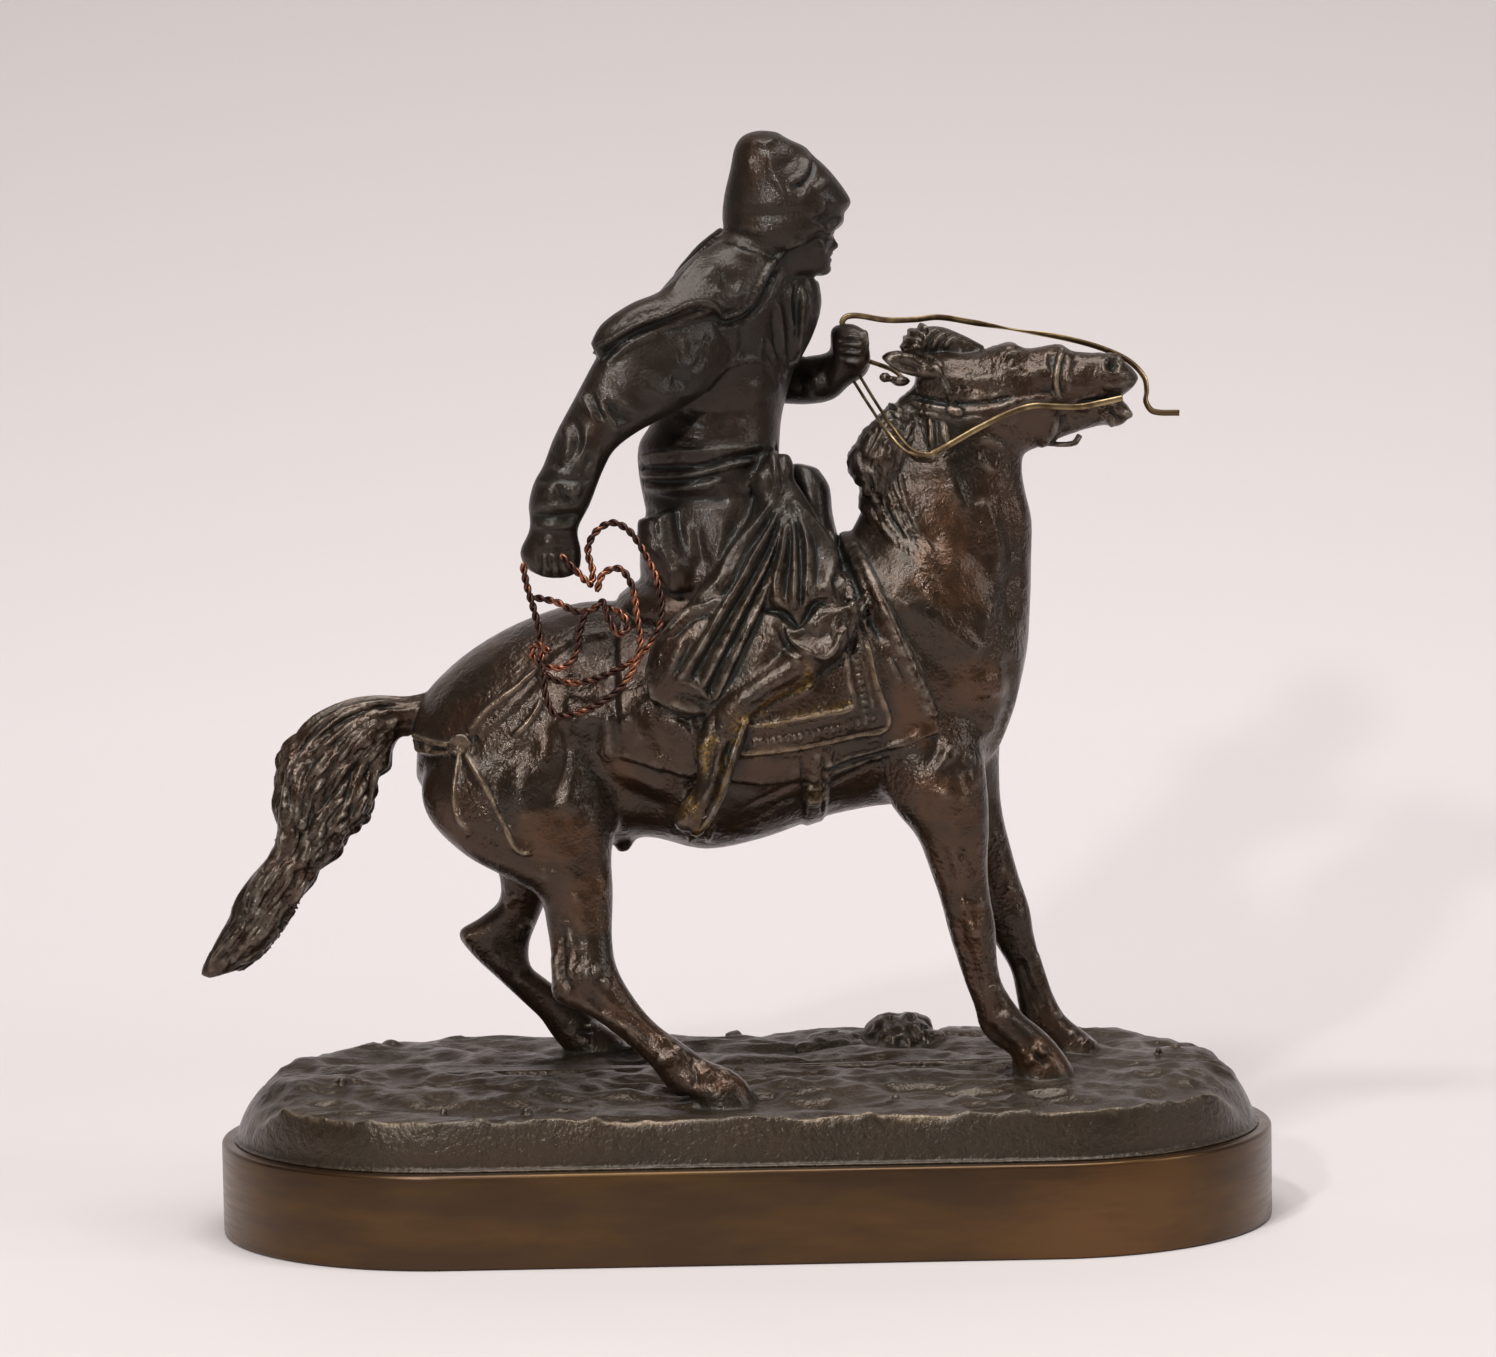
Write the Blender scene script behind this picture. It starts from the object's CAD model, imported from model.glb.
"""Equestrian statuette in patinated bronze: a herdsman checking a pony, on cast ground and an oval-ended
plinth, with bent brass reins and a twisted copper lasso. The casting is modelled in millimetres, as clay is:
broad forms first, then folds and muscles pressed along lines, then the crisp trim, and is scaled to metres
at the end. X runs towards the pony's head, -Y is its right side, which the camera sees, and Z is up."""

import math

import bmesh
import bpy
import numpy as np
from mathutils import Matrix, Vector


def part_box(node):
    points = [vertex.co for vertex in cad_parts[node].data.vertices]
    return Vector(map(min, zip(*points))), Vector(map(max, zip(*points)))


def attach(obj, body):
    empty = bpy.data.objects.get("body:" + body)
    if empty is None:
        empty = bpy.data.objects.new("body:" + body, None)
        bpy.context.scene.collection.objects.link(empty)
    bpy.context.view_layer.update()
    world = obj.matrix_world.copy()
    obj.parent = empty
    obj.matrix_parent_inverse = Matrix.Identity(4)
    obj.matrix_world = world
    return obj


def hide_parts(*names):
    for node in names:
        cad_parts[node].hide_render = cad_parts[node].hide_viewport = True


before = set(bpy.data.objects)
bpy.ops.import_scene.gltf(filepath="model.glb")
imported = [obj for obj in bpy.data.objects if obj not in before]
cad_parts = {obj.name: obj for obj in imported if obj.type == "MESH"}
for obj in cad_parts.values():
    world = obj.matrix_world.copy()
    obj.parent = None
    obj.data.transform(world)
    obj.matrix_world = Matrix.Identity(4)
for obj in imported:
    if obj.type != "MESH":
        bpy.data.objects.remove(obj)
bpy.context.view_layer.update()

bl_info = {
    "name": "Equestrian statuette",
    "version": (1, 0, 0),
    "blender": (4, 5, 0),
    "location": "3D View > Sidebar > Statuette",
    "description": "Builds a bronze rider on a pony, its plinth, reins and lasso, and the stage it stands on",
    "category": "Add Mesh",
}

MM = 0.001

# The view of the photograph, in millimetres
EYE = np.array([-11.58, -1094.97, 218.47])
LOOK_AT = np.array([1.8, -0.02, 114.0])
CAMERA_ROLL_DEGREES = 0.97
LENS = 127.06
SENSOR_WIDTH = 36.0

# Sizes that the plinth gives, in millimetres
PLINTH_LOW, PLINTH_HIGH = (np.array(corner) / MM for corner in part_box("plinth"))
PLINTH_LENGTH = float(PLINTH_HIGH[0] - PLINTH_LOW[0])
PLINTH_WIDTH = float(PLINTH_HIGH[1] - PLINTH_LOW[1])
PLINTH_HEIGHT = float(PLINTH_HIGH[2])

# The figure's sections were drawn for ground at 31.5 and the cast ground's top is at 31.8
FIGURE_LIFT = 0.3


# Where the rider's clothes begin: over the saddle and behind the pony's neck, in metres
CLOTHES_UP_FROM = (0.132, 0.142)
CLOTHES_BACK_FROM = (0.029, 0.025)
# The hammered and chased skin: sizes of its dents, of the patches that it comes in, and of the wax's swells
DENT_SIZE = 1.1
PATCH_SIZE = 9
SWELL_SIZE = 6.5
SWELL_DEPTH = 0.7
# Where the plinth is held, in metres
HAND_PLACE = (0.072, -0.05, 0.011)
# How long the bright and the tarnished stretches of the wires are, and how much is bright
BRASS_STRETCH = 9
BRASS_BRIGHT_SHARE = 0.45
COPPER_STRETCH = 6
COPPER_BRIGHT_SHARE = 0.35
# The paper, in metres: how wide and deep it lies, how far it leans back and how high it stands
PAPER_SIZE = (4.0, 2.0)
PAPER_MIDDLE = (0, -0.3, 0)
PAPER_RISE = (0, 0.2, 2.2)
PAPER_BEND = 0.5


# Colours and materials

def linear(hex_colour):
    """An sRGB hex colour as linear red, green, blue and alpha."""
    channels = [int(hex_colour[i:i + 2], 16) / 255 for i in (1, 3, 5)]
    return tuple(c / 12.92 if c <= 0.04045 else ((c + 0.055) / 1.055) ** 2.4 for c in channels) + (1.0,)


def add_node(tree, kind, values=(), links=(), **settings):
    """Adds a node with its properties, its sockets' plain values and the links into it."""
    made = tree.nodes.new(kind)
    for name, value in settings.items():
        setattr(made, name, value)
    for socket, value in dict(values).items():
        made.inputs[socket].default_value = value
    for socket, source in dict(links).items():
        tree.links.new(source, made.inputs[socket])
    return made


def new_material(name):
    """An empty node material and its shader, linked to the output."""
    material = bpy.data.materials.new(name)
    material.use_nodes = True
    tree = material.node_tree
    tree.nodes.clear()
    shader = add_node(tree, "ShaderNodeBsdfPrincipled")
    add_node(tree, "ShaderNodeOutputMaterial", links={"Surface": shader.outputs[0]})
    return material, tree, shader


def noise_node(tree, place, size_mm, detail=3.0, roughness=0.55):
    """A noise whose blotches are about size_mm across."""
    noise = add_node(
        tree, "ShaderNodeTexNoise", {"Scale": 1 / (size_mm * MM), "Detail": detail, "Roughness": roughness},
        {"Vector": place},
    )
    return noise.outputs["Fac"]


def spread(tree, source, low, high, to_low=0.0, to_high=1.0):
    """A value stretched from low..high to to_low..to_high and held there."""
    made = add_node(
        tree, "ShaderNodeMapRange",
        {"From Min": low, "From Max": high, "To Min": to_low, "To Max": to_high}, {"Value": source},
    )
    return made.outputs["Result"]


def math_node(tree, operation, first, second):
    """The first value with the second, each a value or a number, as add, subtract or multiply."""
    made = add_node(tree, "ShaderNodeMath", operation=operation)
    for socket, value in zip(made.inputs, (first, second)):
        if isinstance(value, (int, float)):
            socket.default_value = value
        else:
            tree.links.new(value, socket)
    return made.outputs[0]


def blend_colours(tree, factor, first, second):
    """The first colour where factor is 0 and the second where it is 1. A colour is a value or a socket."""
    made = add_node(tree, "ShaderNodeMix", data_type="RGBA", links={0: factor})
    for socket, colour in ((6, first), (7, second)):
        if isinstance(colour, bpy.types.NodeSocket):
            tree.links.new(colour, made.inputs[socket])
        else:
            made.inputs[socket].default_value = colour
    return made.outputs[2]


def attribute_node(tree, name):
    """A number that the mesh carries at each point."""
    return add_node(tree, "ShaderNodeAttribute", attribute_name=name).outputs["Fac"]


def bump_node(tree, height, depth_mm, strength=1.0, under=None):
    """A normal from a height pattern that is depth_mm deep, laid over another one."""
    links = {"Height": height}
    if under is not None:
        links["Normal"] = under
    if not isinstance(strength, float):
        links["Strength"] = strength
        strength = 1.0
    made = add_node(tree, "ShaderNodeBump", {"Distance": depth_mm * MM, "Strength": strength}, links)
    return made.outputs["Normal"]


def cast_bronze_material(settings):
    """Sand-cast bronze, chased, patinated dark brown and waxed: near black with warm brown where hands have
    rubbed it, dull grey-green in the hollows, small sharp glints where the chasing tools left it uneven."""
    material, tree, shader = new_material("patinated_cast_bronze")
    place = add_node(tree, "ShaderNodeTexCoord").outputs["Object"]
    wear = attribute_node(tree, "wear")
    hollow = attribute_node(tree, "hollow")
    rubbed = attribute_node(tree, "rubbed")
    ochre = attribute_node(tree, "ochre")
    # The rider's clothes are darker and more matt
    parts = add_node(tree, "ShaderNodeSeparateXYZ", links={0: place}).outputs
    high, behind = spread(tree, parts["Z"], *CLOTHES_UP_FROM), spread(tree, parts["X"], *CLOTHES_BACK_FROM)
    cloth = math_node(tree, "MULTIPLY", high, behind)
    broad = noise_node(tree, place, 14)
    fine = noise_node(tree, place, 2.2)
    grit = noise_node(tree, place, 0.7, 4.0)
    patina = blend_colours(tree, spread(tree, broad, 0.35, 0.7), settings.patina_colour, settings.warm_colour)
    worn = math_node(tree, "MULTIPLY", wear, spread(tree, fine, 0.4, 0.7, 0.0, settings.wear_share))
    patina = blend_colours(tree, worn, patina, settings.worn_colour)
    touched = math_node(tree, "MULTIPLY", rubbed, spread(tree, fine, 0.3, 0.65, 0.3, 0.8))
    patina = blend_colours(tree, touched, patina, settings.rubbed_colour)
    patina = blend_colours(tree, math_node(tree, "MULTIPLY", cloth, 0.7), patina, settings.cloth_colour)
    patina = blend_colours(tree, hollow, patina, settings.recess_colour)
    gilt = math_node(tree, "MULTIPLY", ochre, spread(tree, grit, 0.4, 0.6))
    patina = blend_colours(tree, gilt, patina, settings.ochre_colour)
    # The ground is duller and greyer, as it came from the sand
    earth = attribute_node(tree, "earth")
    patina = blend_colours(tree, math_node(tree, "MULTIPLY", earth, 0.5), patina, settings.ground_colour)
    # Cords, discs and the ground's chipped front edge are rubbed to light metal
    polished = spread(tree, fine, 0.35, 0.6, 0.15, 0.6)
    polished = math_node(tree, "MULTIPLY", attribute_node(tree, "polished"), polished)
    patina = blend_colours(tree, polished, patina, settings.polished_colour)
    tree.links.new(patina, shader.inputs["Base Color"])
    shader.inputs["Metallic"].default_value = settings.metal
    shader.inputs["Coat Weight"].default_value = settings.wax
    shader.inputs["Coat Roughness"].default_value = settings.wax_roughness
    gloss = spread(tree, fine, 0.3, 0.7, settings.roughness - 0.06, settings.roughness + 0.1)
    gloss = math_node(tree, "ADD", gloss, math_node(tree, "MULTIPLY", hollow, 0.25))
    gloss = math_node(tree, "ADD", gloss, math_node(tree, "MULTIPLY", earth, 0.08))
    gloss = math_node(tree, "ADD", gloss, math_node(tree, "MULTIPLY", cloth, 0.17))
    tree.links.new(gloss, shader.inputs["Roughness"])
    # Hammered and chased skin, in patches that come and go
    dents = add_node(
        tree, "ShaderNodeTexVoronoi", {"Scale": 1 / (DENT_SIZE * MM), "Randomness": 1.0}, {"Vector": place},
        feature="SMOOTH_F1",
    ).outputs["Distance"]
    patches = spread(tree, noise_node(tree, place, PATCH_SIZE, 2.0), 0.42, 0.62)
    patches = math_node(tree, "MULTIPLY", patches, spread(tree, earth, 0.0, 1.0, 1.0, 0.15))
    patches = math_node(tree, "MULTIPLY", patches, spread(tree, cloth, 0.0, 1.0, 1.0, 0.2))
    skin = bump_node(tree, math_node(tree, "MULTIPLY", dents, patches), settings.dent_depth)
    # Slow swells where the wax model was thumbed, and a fine grain that breaks the highlights up
    bare = math_node(tree, "SUBTRACT", 1.0, math_node(tree, "MAXIMUM", cloth, earth))
    skin = bump_node(tree, noise_node(tree, place, SWELL_SIZE, 1.0), SWELL_DEPTH, bare, skin)
    skin = bump_node(tree, noise_node(tree, place, 2.8, 3.0), 0.4, patches, skin)
    skin = bump_node(tree, noise_node(tree, place, 0.7, 4.0), 0.12, under=skin)
    skin = bump_node(tree, noise_node(tree, place, 1.8, 4.0), 0.35, earth, skin)
    tree.links.new(skin, shader.inputs["Normal"])
    tree.links.new(skin, shader.inputs["Coat Normal"])
    return material


def plinth_bronze_material(settings):
    """Smooth, lightly brushed bronze under a thin brown patina, rubbed through to gold in cloudy patches."""
    material, tree, shader = new_material("brushed_brown_bronze")
    place = add_node(tree, "ShaderNodeTexCoord").outputs["Object"]
    streaked = add_node(tree, "ShaderNodeMapping", {"Scale": (0.35, 0.35, 1.6)}, {"Vector": place}).outputs[0]
    clouds = noise_node(tree, streaked, 16, 4.0, 0.6)
    lines = add_node(tree, "ShaderNodeMapping", {"Scale": (0.06, 0.06, 1.0)}, {"Vector": place}).outputs[0]
    brushing = noise_node(tree, lines, 0.8, 3.0)
    colour = blend_colours(
        tree, spread(tree, clouds, 0.42, 0.72), settings.plinth_colour, settings.plinth_gold
    )
    # The gold shows most at the front right
    held = add_node(tree, "ShaderNodeVectorMath", {1: HAND_PLACE}, {0: place}, operation="DISTANCE")
    near_hand = spread(tree, held.outputs["Value"], 0.006, 0.03, 1.0, 0.0)
    near_hand = math_node(tree, "MULTIPLY", near_hand, spread(tree, clouds, 0.35, 0.6, 0.1, 1.0))
    colour = blend_colours(tree, near_hand, colour, settings.plinth_rubbed)
    tree.links.new(colour, shader.inputs["Base Color"])
    shader.inputs["Metallic"].default_value = 0.9
    shader.inputs["Coat Weight"].default_value = 0.2
    shader.inputs["Coat Roughness"].default_value = 0.25
    tree.links.new(spread(tree, brushing, 0.3, 0.7, 0.28, 0.42), shader.inputs["Roughness"])
    tree.links.new(bump_node(tree, brushing, 0.02), shader.inputs["Normal"])
    return material


def wire_material(name, bright, dark, size_mm, bright_share):
    """Drawn wire or strip, bright where it was handled and tarnished dark elsewhere, in short stretches."""
    material, tree, shader = new_material(name)
    place = add_node(tree, "ShaderNodeTexCoord").outputs["Object"]
    stretches = noise_node(tree, place, size_mm, 3.0)
    middle = 0.5 + (0.5 - bright_share) * 0.35
    tree.links.new(
        blend_colours(tree, spread(tree, stretches, middle - 0.07, middle + 0.07), dark, bright),
        shader.inputs["Base Color"],
    )
    shader.inputs["Metallic"].default_value = 0.92
    tree.links.new(spread(tree, stretches, 0.35, 0.65, 0.42, 0.28), shader.inputs["Roughness"])
    tree.links.new(bump_node(tree, noise_node(tree, place, 0.5), 0.03), shader.inputs["Normal"])
    return material


def paper_material(colour):
    """Matt white studio paper, a little uneven."""
    material, tree, shader = new_material("studio_paper")
    place = add_node(tree, "ShaderNodeTexCoord").outputs["Object"]
    mottle = spread(tree, noise_node(tree, place, 120), 0.3, 0.7)
    shade = tuple(c * 0.97 for c in colour[:3]) + (1.0,)
    paper = blend_colours(tree, mottle, tuple(colour), shade)
    parts = add_node(tree, "ShaderNodeSeparateXYZ", links={0: place}).outputs
    paper = blend_colours(tree, spread(tree, parts["Y"], -0.05, 0.3), paper, linear("#e4dcdb"))
    paper = blend_colours(tree, spread(tree, parts["Z"], 0.06, 0.3), paper, linear("#c6bdbb"))
    tree.links.new(paper, shader.inputs["Base Color"])
    shader.inputs["Roughness"].default_value = 0.9
    return material


# Objects and meshes

def select_only(obj):
    """Leaves this object alone selected and active."""
    bpy.ops.object.select_all(action="DESELECT")
    obj.select_set(True)
    bpy.context.view_layer.objects.active = obj


def object_from(name, points, faces):
    """A mesh object from points and faces."""
    mesh = bpy.data.meshes.new(name)
    mesh.from_pydata([tuple(p) for p in points], [], faces)
    mesh.update()
    obj = bpy.data.objects.new(name, mesh)
    bpy.context.scene.collection.objects.link(obj)
    return obj


def join_objects(objects, name):
    """Joins the objects into the first one, under a new name."""
    select_only(objects[0])
    for obj in objects:
        obj.select_set(True)
    bpy.ops.object.join()
    joined = bpy.context.view_layer.objects.active
    joined.name = name
    return joined


def apply_modifier(obj, kind, **settings):
    """Adds a modifier with its settings and applies it."""
    modifier = obj.modifiers.new(kind.lower(), kind)
    for name, value in settings.items():
        setattr(modifier, name, value)
    select_only(obj)
    bpy.ops.object.modifier_apply(modifier=modifier.name)


def fuse(obj, voxel):
    """Melts what overlaps in the object into one closed skin of even faces."""
    select_only(obj)
    obj.data.remesh_voxel_size = voxel
    obj.data.use_remesh_fix_poles = False
    bpy.ops.object.voxel_remesh()


def points_of(mesh):
    flat = np.empty(len(mesh.vertices) * 3, np.float32)
    mesh.vertices.foreach_get("co", flat)
    return flat.reshape(-1, 3).astype(float)


def set_points(mesh, points):
    mesh.vertices.foreach_set("co", points.astype(np.float32).ravel())
    mesh.update()


def normals_of(mesh):
    flat = np.empty(len(mesh.vertices) * 3, np.float32)
    mesh.vertex_normals.foreach_get("vector", flat)
    return flat.reshape(-1, 3).astype(float)


def edge_ends(mesh):
    """The two points of each edge."""
    flat = np.empty(len(mesh.edges) * 2, np.int32)
    mesh.edges.foreach_get("vertices", flat)
    return flat.reshape(-1, 2)


def neighbour_mean(values, ends):
    """The mean of each point's neighbours along the edges."""
    size = len(values)
    count = np.bincount(ends.ravel(), minlength=size).clip(1)
    total = np.empty((size, values.shape[1]))
    for column in range(values.shape[1]):
        one = np.bincount(ends[:, 0], weights=values[ends[:, 1], column], minlength=size)
        other = np.bincount(ends[:, 1], weights=values[ends[:, 0], column], minlength=size)
        total[:, column] = one + other
    return total / count[:, None]


def relaxed(values, ends, rounds, strength=0.6):
    """The values after so many rounds of moving towards their neighbours' mean."""
    for _ in range(rounds):
        values = values + (neighbour_mean(values, ends) - values) * strength
    return values


def steady_normals(obj, ends, rounds):
    """Normals of unit length, evened out among neighbours."""
    normals = relaxed(normals_of(obj.data), ends, rounds)
    return normals / np.linalg.norm(normals, axis=1)[:, None].clip(1e-6)


def smoothstep(low, high, value):
    """A soft step from 0 at low to 1 at high. With low over high it falls."""
    share = np.clip((value - low) / (high - low), 0, 1)
    return share * share * (3 - 2 * share)


def grain(points, size, seed):
    """Smooth random values from -1 to 1, with blotches about size across, the same on each run."""
    scaled = points / size
    cell = np.floor(scaled).astype(np.int64)
    part = scaled - cell
    part = part * part * (3 - 2 * part)
    total = np.zeros(len(points))
    for corner in range(8):
        offset = np.array([corner & 1, (corner >> 1) & 1, (corner >> 2) & 1])
        key = cell + offset
        mixed = key[:, 0] * 73856093 ^ key[:, 1] * 19349663 ^ key[:, 2] * 83492791 ^ (seed * 2654435761)
        mixed = (mixed ^ (mixed >> 13)) * 1274126177
        value = ((mixed ^ (mixed >> 16)) & 0xFFFF) / 32767.5 - 1
        weight = np.prod(np.where(offset == 1, part, 1 - part), axis=1)
        total += value * weight
    return total


def curve_through(points, step):
    """Even steps along a smooth line through the points, in two or three dimensions."""
    points = np.array(points, float)
    if len(points) < 2:
        return points
    gaps = np.maximum(np.linalg.norm(np.diff(points, axis=0), axis=1), 1e-6)
    place = np.concatenate([[0], np.cumsum(gaps)])
    return hermite(points, place, np.linspace(0, place[-1], max(int(place[-1] / step) + 1, 2)))


def hermite(values, place, at):
    """Values at the places asked for, on a smooth line through the known ones."""
    slopes = np.empty_like(values)
    slopes[1:-1] = (values[2:] - values[:-2]) / (place[2:] - place[:-2])[:, None]
    slopes[0] = (values[1] - values[0]) / (place[1] - place[0])
    slopes[-1] = (values[-1] - values[-2]) / (place[-1] - place[-2])
    index = np.clip(np.searchsorted(place, at, side="right") - 1, 0, len(place) - 2)
    gap = (place[index + 1] - place[index])[:, None]
    t = (at - place[index])[:, None] / gap
    first = (1 + 2 * t) * (1 - t) ** 2 * values[index] + t * (1 - t) ** 2 * gap * slopes[index]
    second = t * t * (3 - 2 * t) * values[index + 1] + t * t * (t - 1) * gap * slopes[index + 1]
    return first + second


# Lofted forms. A row is two outline points of the side view, the section's place off the middle and its
# half width there, then, where it has them, how much broader it is at its first point, how far its first
# point lies nearer the pony's left, and how far its left side lies forward:
# (x1, z1, x2, z2, y, half width, broaden, lean, turn)

def full_rows(rows):
    """The rows as a table, with zeros where a row leaves its last values out."""
    return np.array([list(row) + [0.0] * (9 - len(row)) for row in rows], float)


def loft(rows, sides=36, spacing=1.2, grow=0.0, carve=None):
    """A closed form through the rows. carve gives each point's distance from the section's middle as a
    share, from its angle and how far along it lies."""
    table = full_rows(rows)
    middles = np.stack([(table[:, 0] + table[:, 2]) / 2, table[:, 4], (table[:, 1] + table[:, 3]) / 2], 1)
    halves = np.hypot(table[:, 0] - table[:, 2], table[:, 1] - table[:, 3]) / 2
    steps = np.hypot(np.linalg.norm(np.diff(middles, axis=0), axis=1), np.diff(halves))
    place = np.concatenate([[0], np.cumsum(np.maximum(steps, 0.3))])
    count = max(int(place[-1] / spacing), len(rows))
    at = np.linspace(0, place[-1], count)
    fine = hermite(table, place, at)
    along = (at / place[-1])[:, None]
    angle = (np.arange(sides) / sides * 2 * math.pi)[None, :]
    depth = np.ones((count, sides)) if carve is None else carve(angle, along)
    x1, z1, x2, z2, y, half, broaden, lean, turn = (fine[:, i][:, None] for i in range(9))
    half_length = np.maximum(np.hypot(x1 - x2, z1 - z2) / 2, 0.05)
    stretch = (half_length + grow) / half_length
    cos, sin = np.cos(angle) * depth, np.sin(angle) * depth
    ring = np.stack([
        (x1 + x2) / 2 + (x1 - x2) / 2 * stretch * cos + turn * sin,
        y + (np.maximum(half, 0.05) + grow) * sin * (1 + broaden * np.cos(angle)) + lean * cos,
        (z1 + z2) / 2 + (z1 - z2) / 2 * stretch * cos + FIGURE_LIFT,
    ], axis=2)
    return skin(ring)


def skin(rings):
    """A closed skin over rings of points, with a point in the middle of each end."""
    count, sides = rings.shape[:2]
    points = np.concatenate([rings.reshape(-1, 3), rings[:1].mean(1), rings[-1:].mean(1)])
    first, last = count * sides, count * sides + 1
    faces = []
    for ring in range(count - 1):
        low = ring * sides
        for side in range(sides):
            following = (side + 1) % sides
            faces.append((low + side, low + following, low + sides + following, low + sides + side))
    for side in range(sides):
        following = (side + 1) % sides
        faces.append((first, following, side))
        faces.append((last, first - sides + side, first - sides + following))
    obj = object_from("form", points, faces)
    turn_outwards(obj)
    return obj


def turn_outwards(obj):
    """Turns all of a closed mesh's faces outwards."""
    form = bmesh.new()
    form.from_mesh(obj.data)
    if form.calc_volume(signed=True) < 0:
        bmesh.ops.reverse_faces(form, faces=form.faces)
    form.to_mesh(obj.data)
    form.free()


def other_side(rows):
    """The same rows on the pony's or rider's other side."""
    table = full_rows(rows)
    table[:, [4, 7, 8]] *= -1
    return table


def tube(route, radius, sides=10, step=0.6, flat=1.0, taper=0.0, turns_at=()):
    """A round or flattened rod along a smooth line. taper is the share of each end that thins out, and
    turns_at pairs of a share of its length and how far it has turned about itself there, in degrees."""
    line = curve_through(route, step)
    heading = np.gradient(line, axis=0)
    heading /= np.linalg.norm(heading, axis=1)[:, None]
    side = np.cross(heading[0], [0.3, 0.1, 0.95])
    along = np.linspace(0, 1, len(line))
    thin = np.ones(len(line))
    if taper:
        thin = np.sqrt(np.clip(np.minimum(along, 1 - along) / taper, 0.03, 1))
    rings = []
    for place, ahead, share in zip(line, heading, thin):
        side = side - ahead * (side @ ahead)
        side /= np.linalg.norm(side)
        up = np.cross(ahead, side)
        turns = np.arange(sides) / sides * 2 * math.pi
        twist = math.radians(np.interp(len(rings) / len(line), *turns_at)) if turns_at else 0
        flat_way = side * math.cos(twist) + up * math.sin(twist)
        edge_way = up * math.cos(twist) - side * math.sin(twist)
        ring = place + np.outer(np.cos(turns), flat_way) * radius * share
        rings.append(ring + np.outer(np.sin(turns), edge_way) * radius * flat * share)
    return skin(np.array(rings))


def ball(centre, radii, rotation=(0, 0, 0)):
    """A rounded lump."""
    bpy.ops.object.select_all(action="DESELECT")
    bpy.ops.mesh.primitive_uv_sphere_add(segments=20, ring_count=12, radius=1, location=(0, 0, 0))
    obj = bpy.context.view_layer.objects.active
    turned = Matrix.LocRotScale(Vector(centre), None, None)
    for axis, degrees in zip("XYZ", rotation):
        turned = turned @ Matrix.Rotation(math.radians(degrees), 4, axis)
    obj.data.transform(turned @ Matrix.Diagonal(Vector((*radii, 1))))
    obj.data.update()
    return obj


# Pressing lines into the clay. A stroke is (height, reach left, reach right, points): a ridge or, below
# zero, a groove along a line. Its reach is how far it spreads on the left and right of the line, so an
# uneven pair gives the lip of an overlap. A near or far stroke's points are x and z where the line of sight
# from the eye meets the middle plane, a front or back one's are y and z, and a top one's are x and y.

SIGHT_CELL = 0.7
SIGHT_SLACK = 1.1


def seen_from(points, view):
    """Where the points lie in a view, how deep they lie, and the direction from the eye to each."""
    if view in ("near", "far"):
        eye = EYE * (1, 1 if view == "near" else -1, 1)
        rays = points - eye
        reach = -eye[1] / rays[:, 1]
        flat = np.stack([eye[0] + rays[:, 0] * reach, eye[2] + rays[:, 2] * reach], 1)
        length = np.linalg.norm(rays, axis=1)
        return flat, length, rays / length[:, None]
    axis, sign = {"front": (0, -1), "back": (0, 1), "top": (2, -1)}[view]
    keep = [i for i in range(3) if i != axis]
    direction = np.zeros((1, 3))
    direction[0, axis] = sign
    return points[:, keep], points[:, axis] * sign, direction


def visibility(points, normals, view):
    """Where the points lie in a view, and how much of a stroke each takes: none if it is hidden."""
    flat, depth, direction = seen_from(points, view)
    facing = -np.sum(normals * direction, axis=1)
    cell = np.floor((flat - flat.min(0)) / SIGHT_CELL).astype(int)
    columns = cell[:, 0].max() + 3
    key = (cell[:, 1] + 1) * columns + cell[:, 0] + 1
    nearest = np.full((cell[:, 1].max() + 3) * columns, np.inf)
    np.minimum.at(nearest, key, depth)
    hidden = smoothstep(SIGHT_SLACK, SIGHT_SLACK * 1.6, depth - nearest[key])
    return flat, smoothstep(0.02, 0.3, facing) * (1 - hidden)


def stroke_profile(flat, points, left, right, step=0.8):
    """How strongly each point in the view lies on a stroke, from 0 to 1."""
    line = curve_through(points, step)
    if len(line) == 1:
        return np.exp(-np.sum((flat - line[0]) ** 2, axis=1) / left ** 2)
    begin, gap = line[:-1], np.diff(line, axis=0)
    length2 = np.sum(gap ** 2, axis=1).clip(1e-9)
    reach = flat[:, None, :] - begin[None]
    share = np.clip(np.sum(reach * gap, axis=2) / length2, 0, 1)
    away = reach - share[..., None] * gap
    distance2 = np.sum(away ** 2, axis=2)
    nearest = np.argmin(distance2, axis=1)
    rows = np.arange(len(flat))
    side = gap[nearest, 0] * reach[rows, nearest, 1] - gap[nearest, 1] * reach[rows, nearest, 0]
    width = np.where(side > 0, left, right)
    gaps = np.sqrt(length2)
    start = np.concatenate([[0], np.cumsum(gaps)])
    travelled = start[nearest] + share[rows, nearest] * gaps[nearest]
    end = min(0.3 * start[-1], 2.5)
    taper = smoothstep(0, end, travelled + 0.25 * end)
    taper *= smoothstep(0, end, start[-1] - travelled + 0.25 * end)
    return np.exp(-distance2[rows, nearest] / width ** 2) * taper


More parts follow.
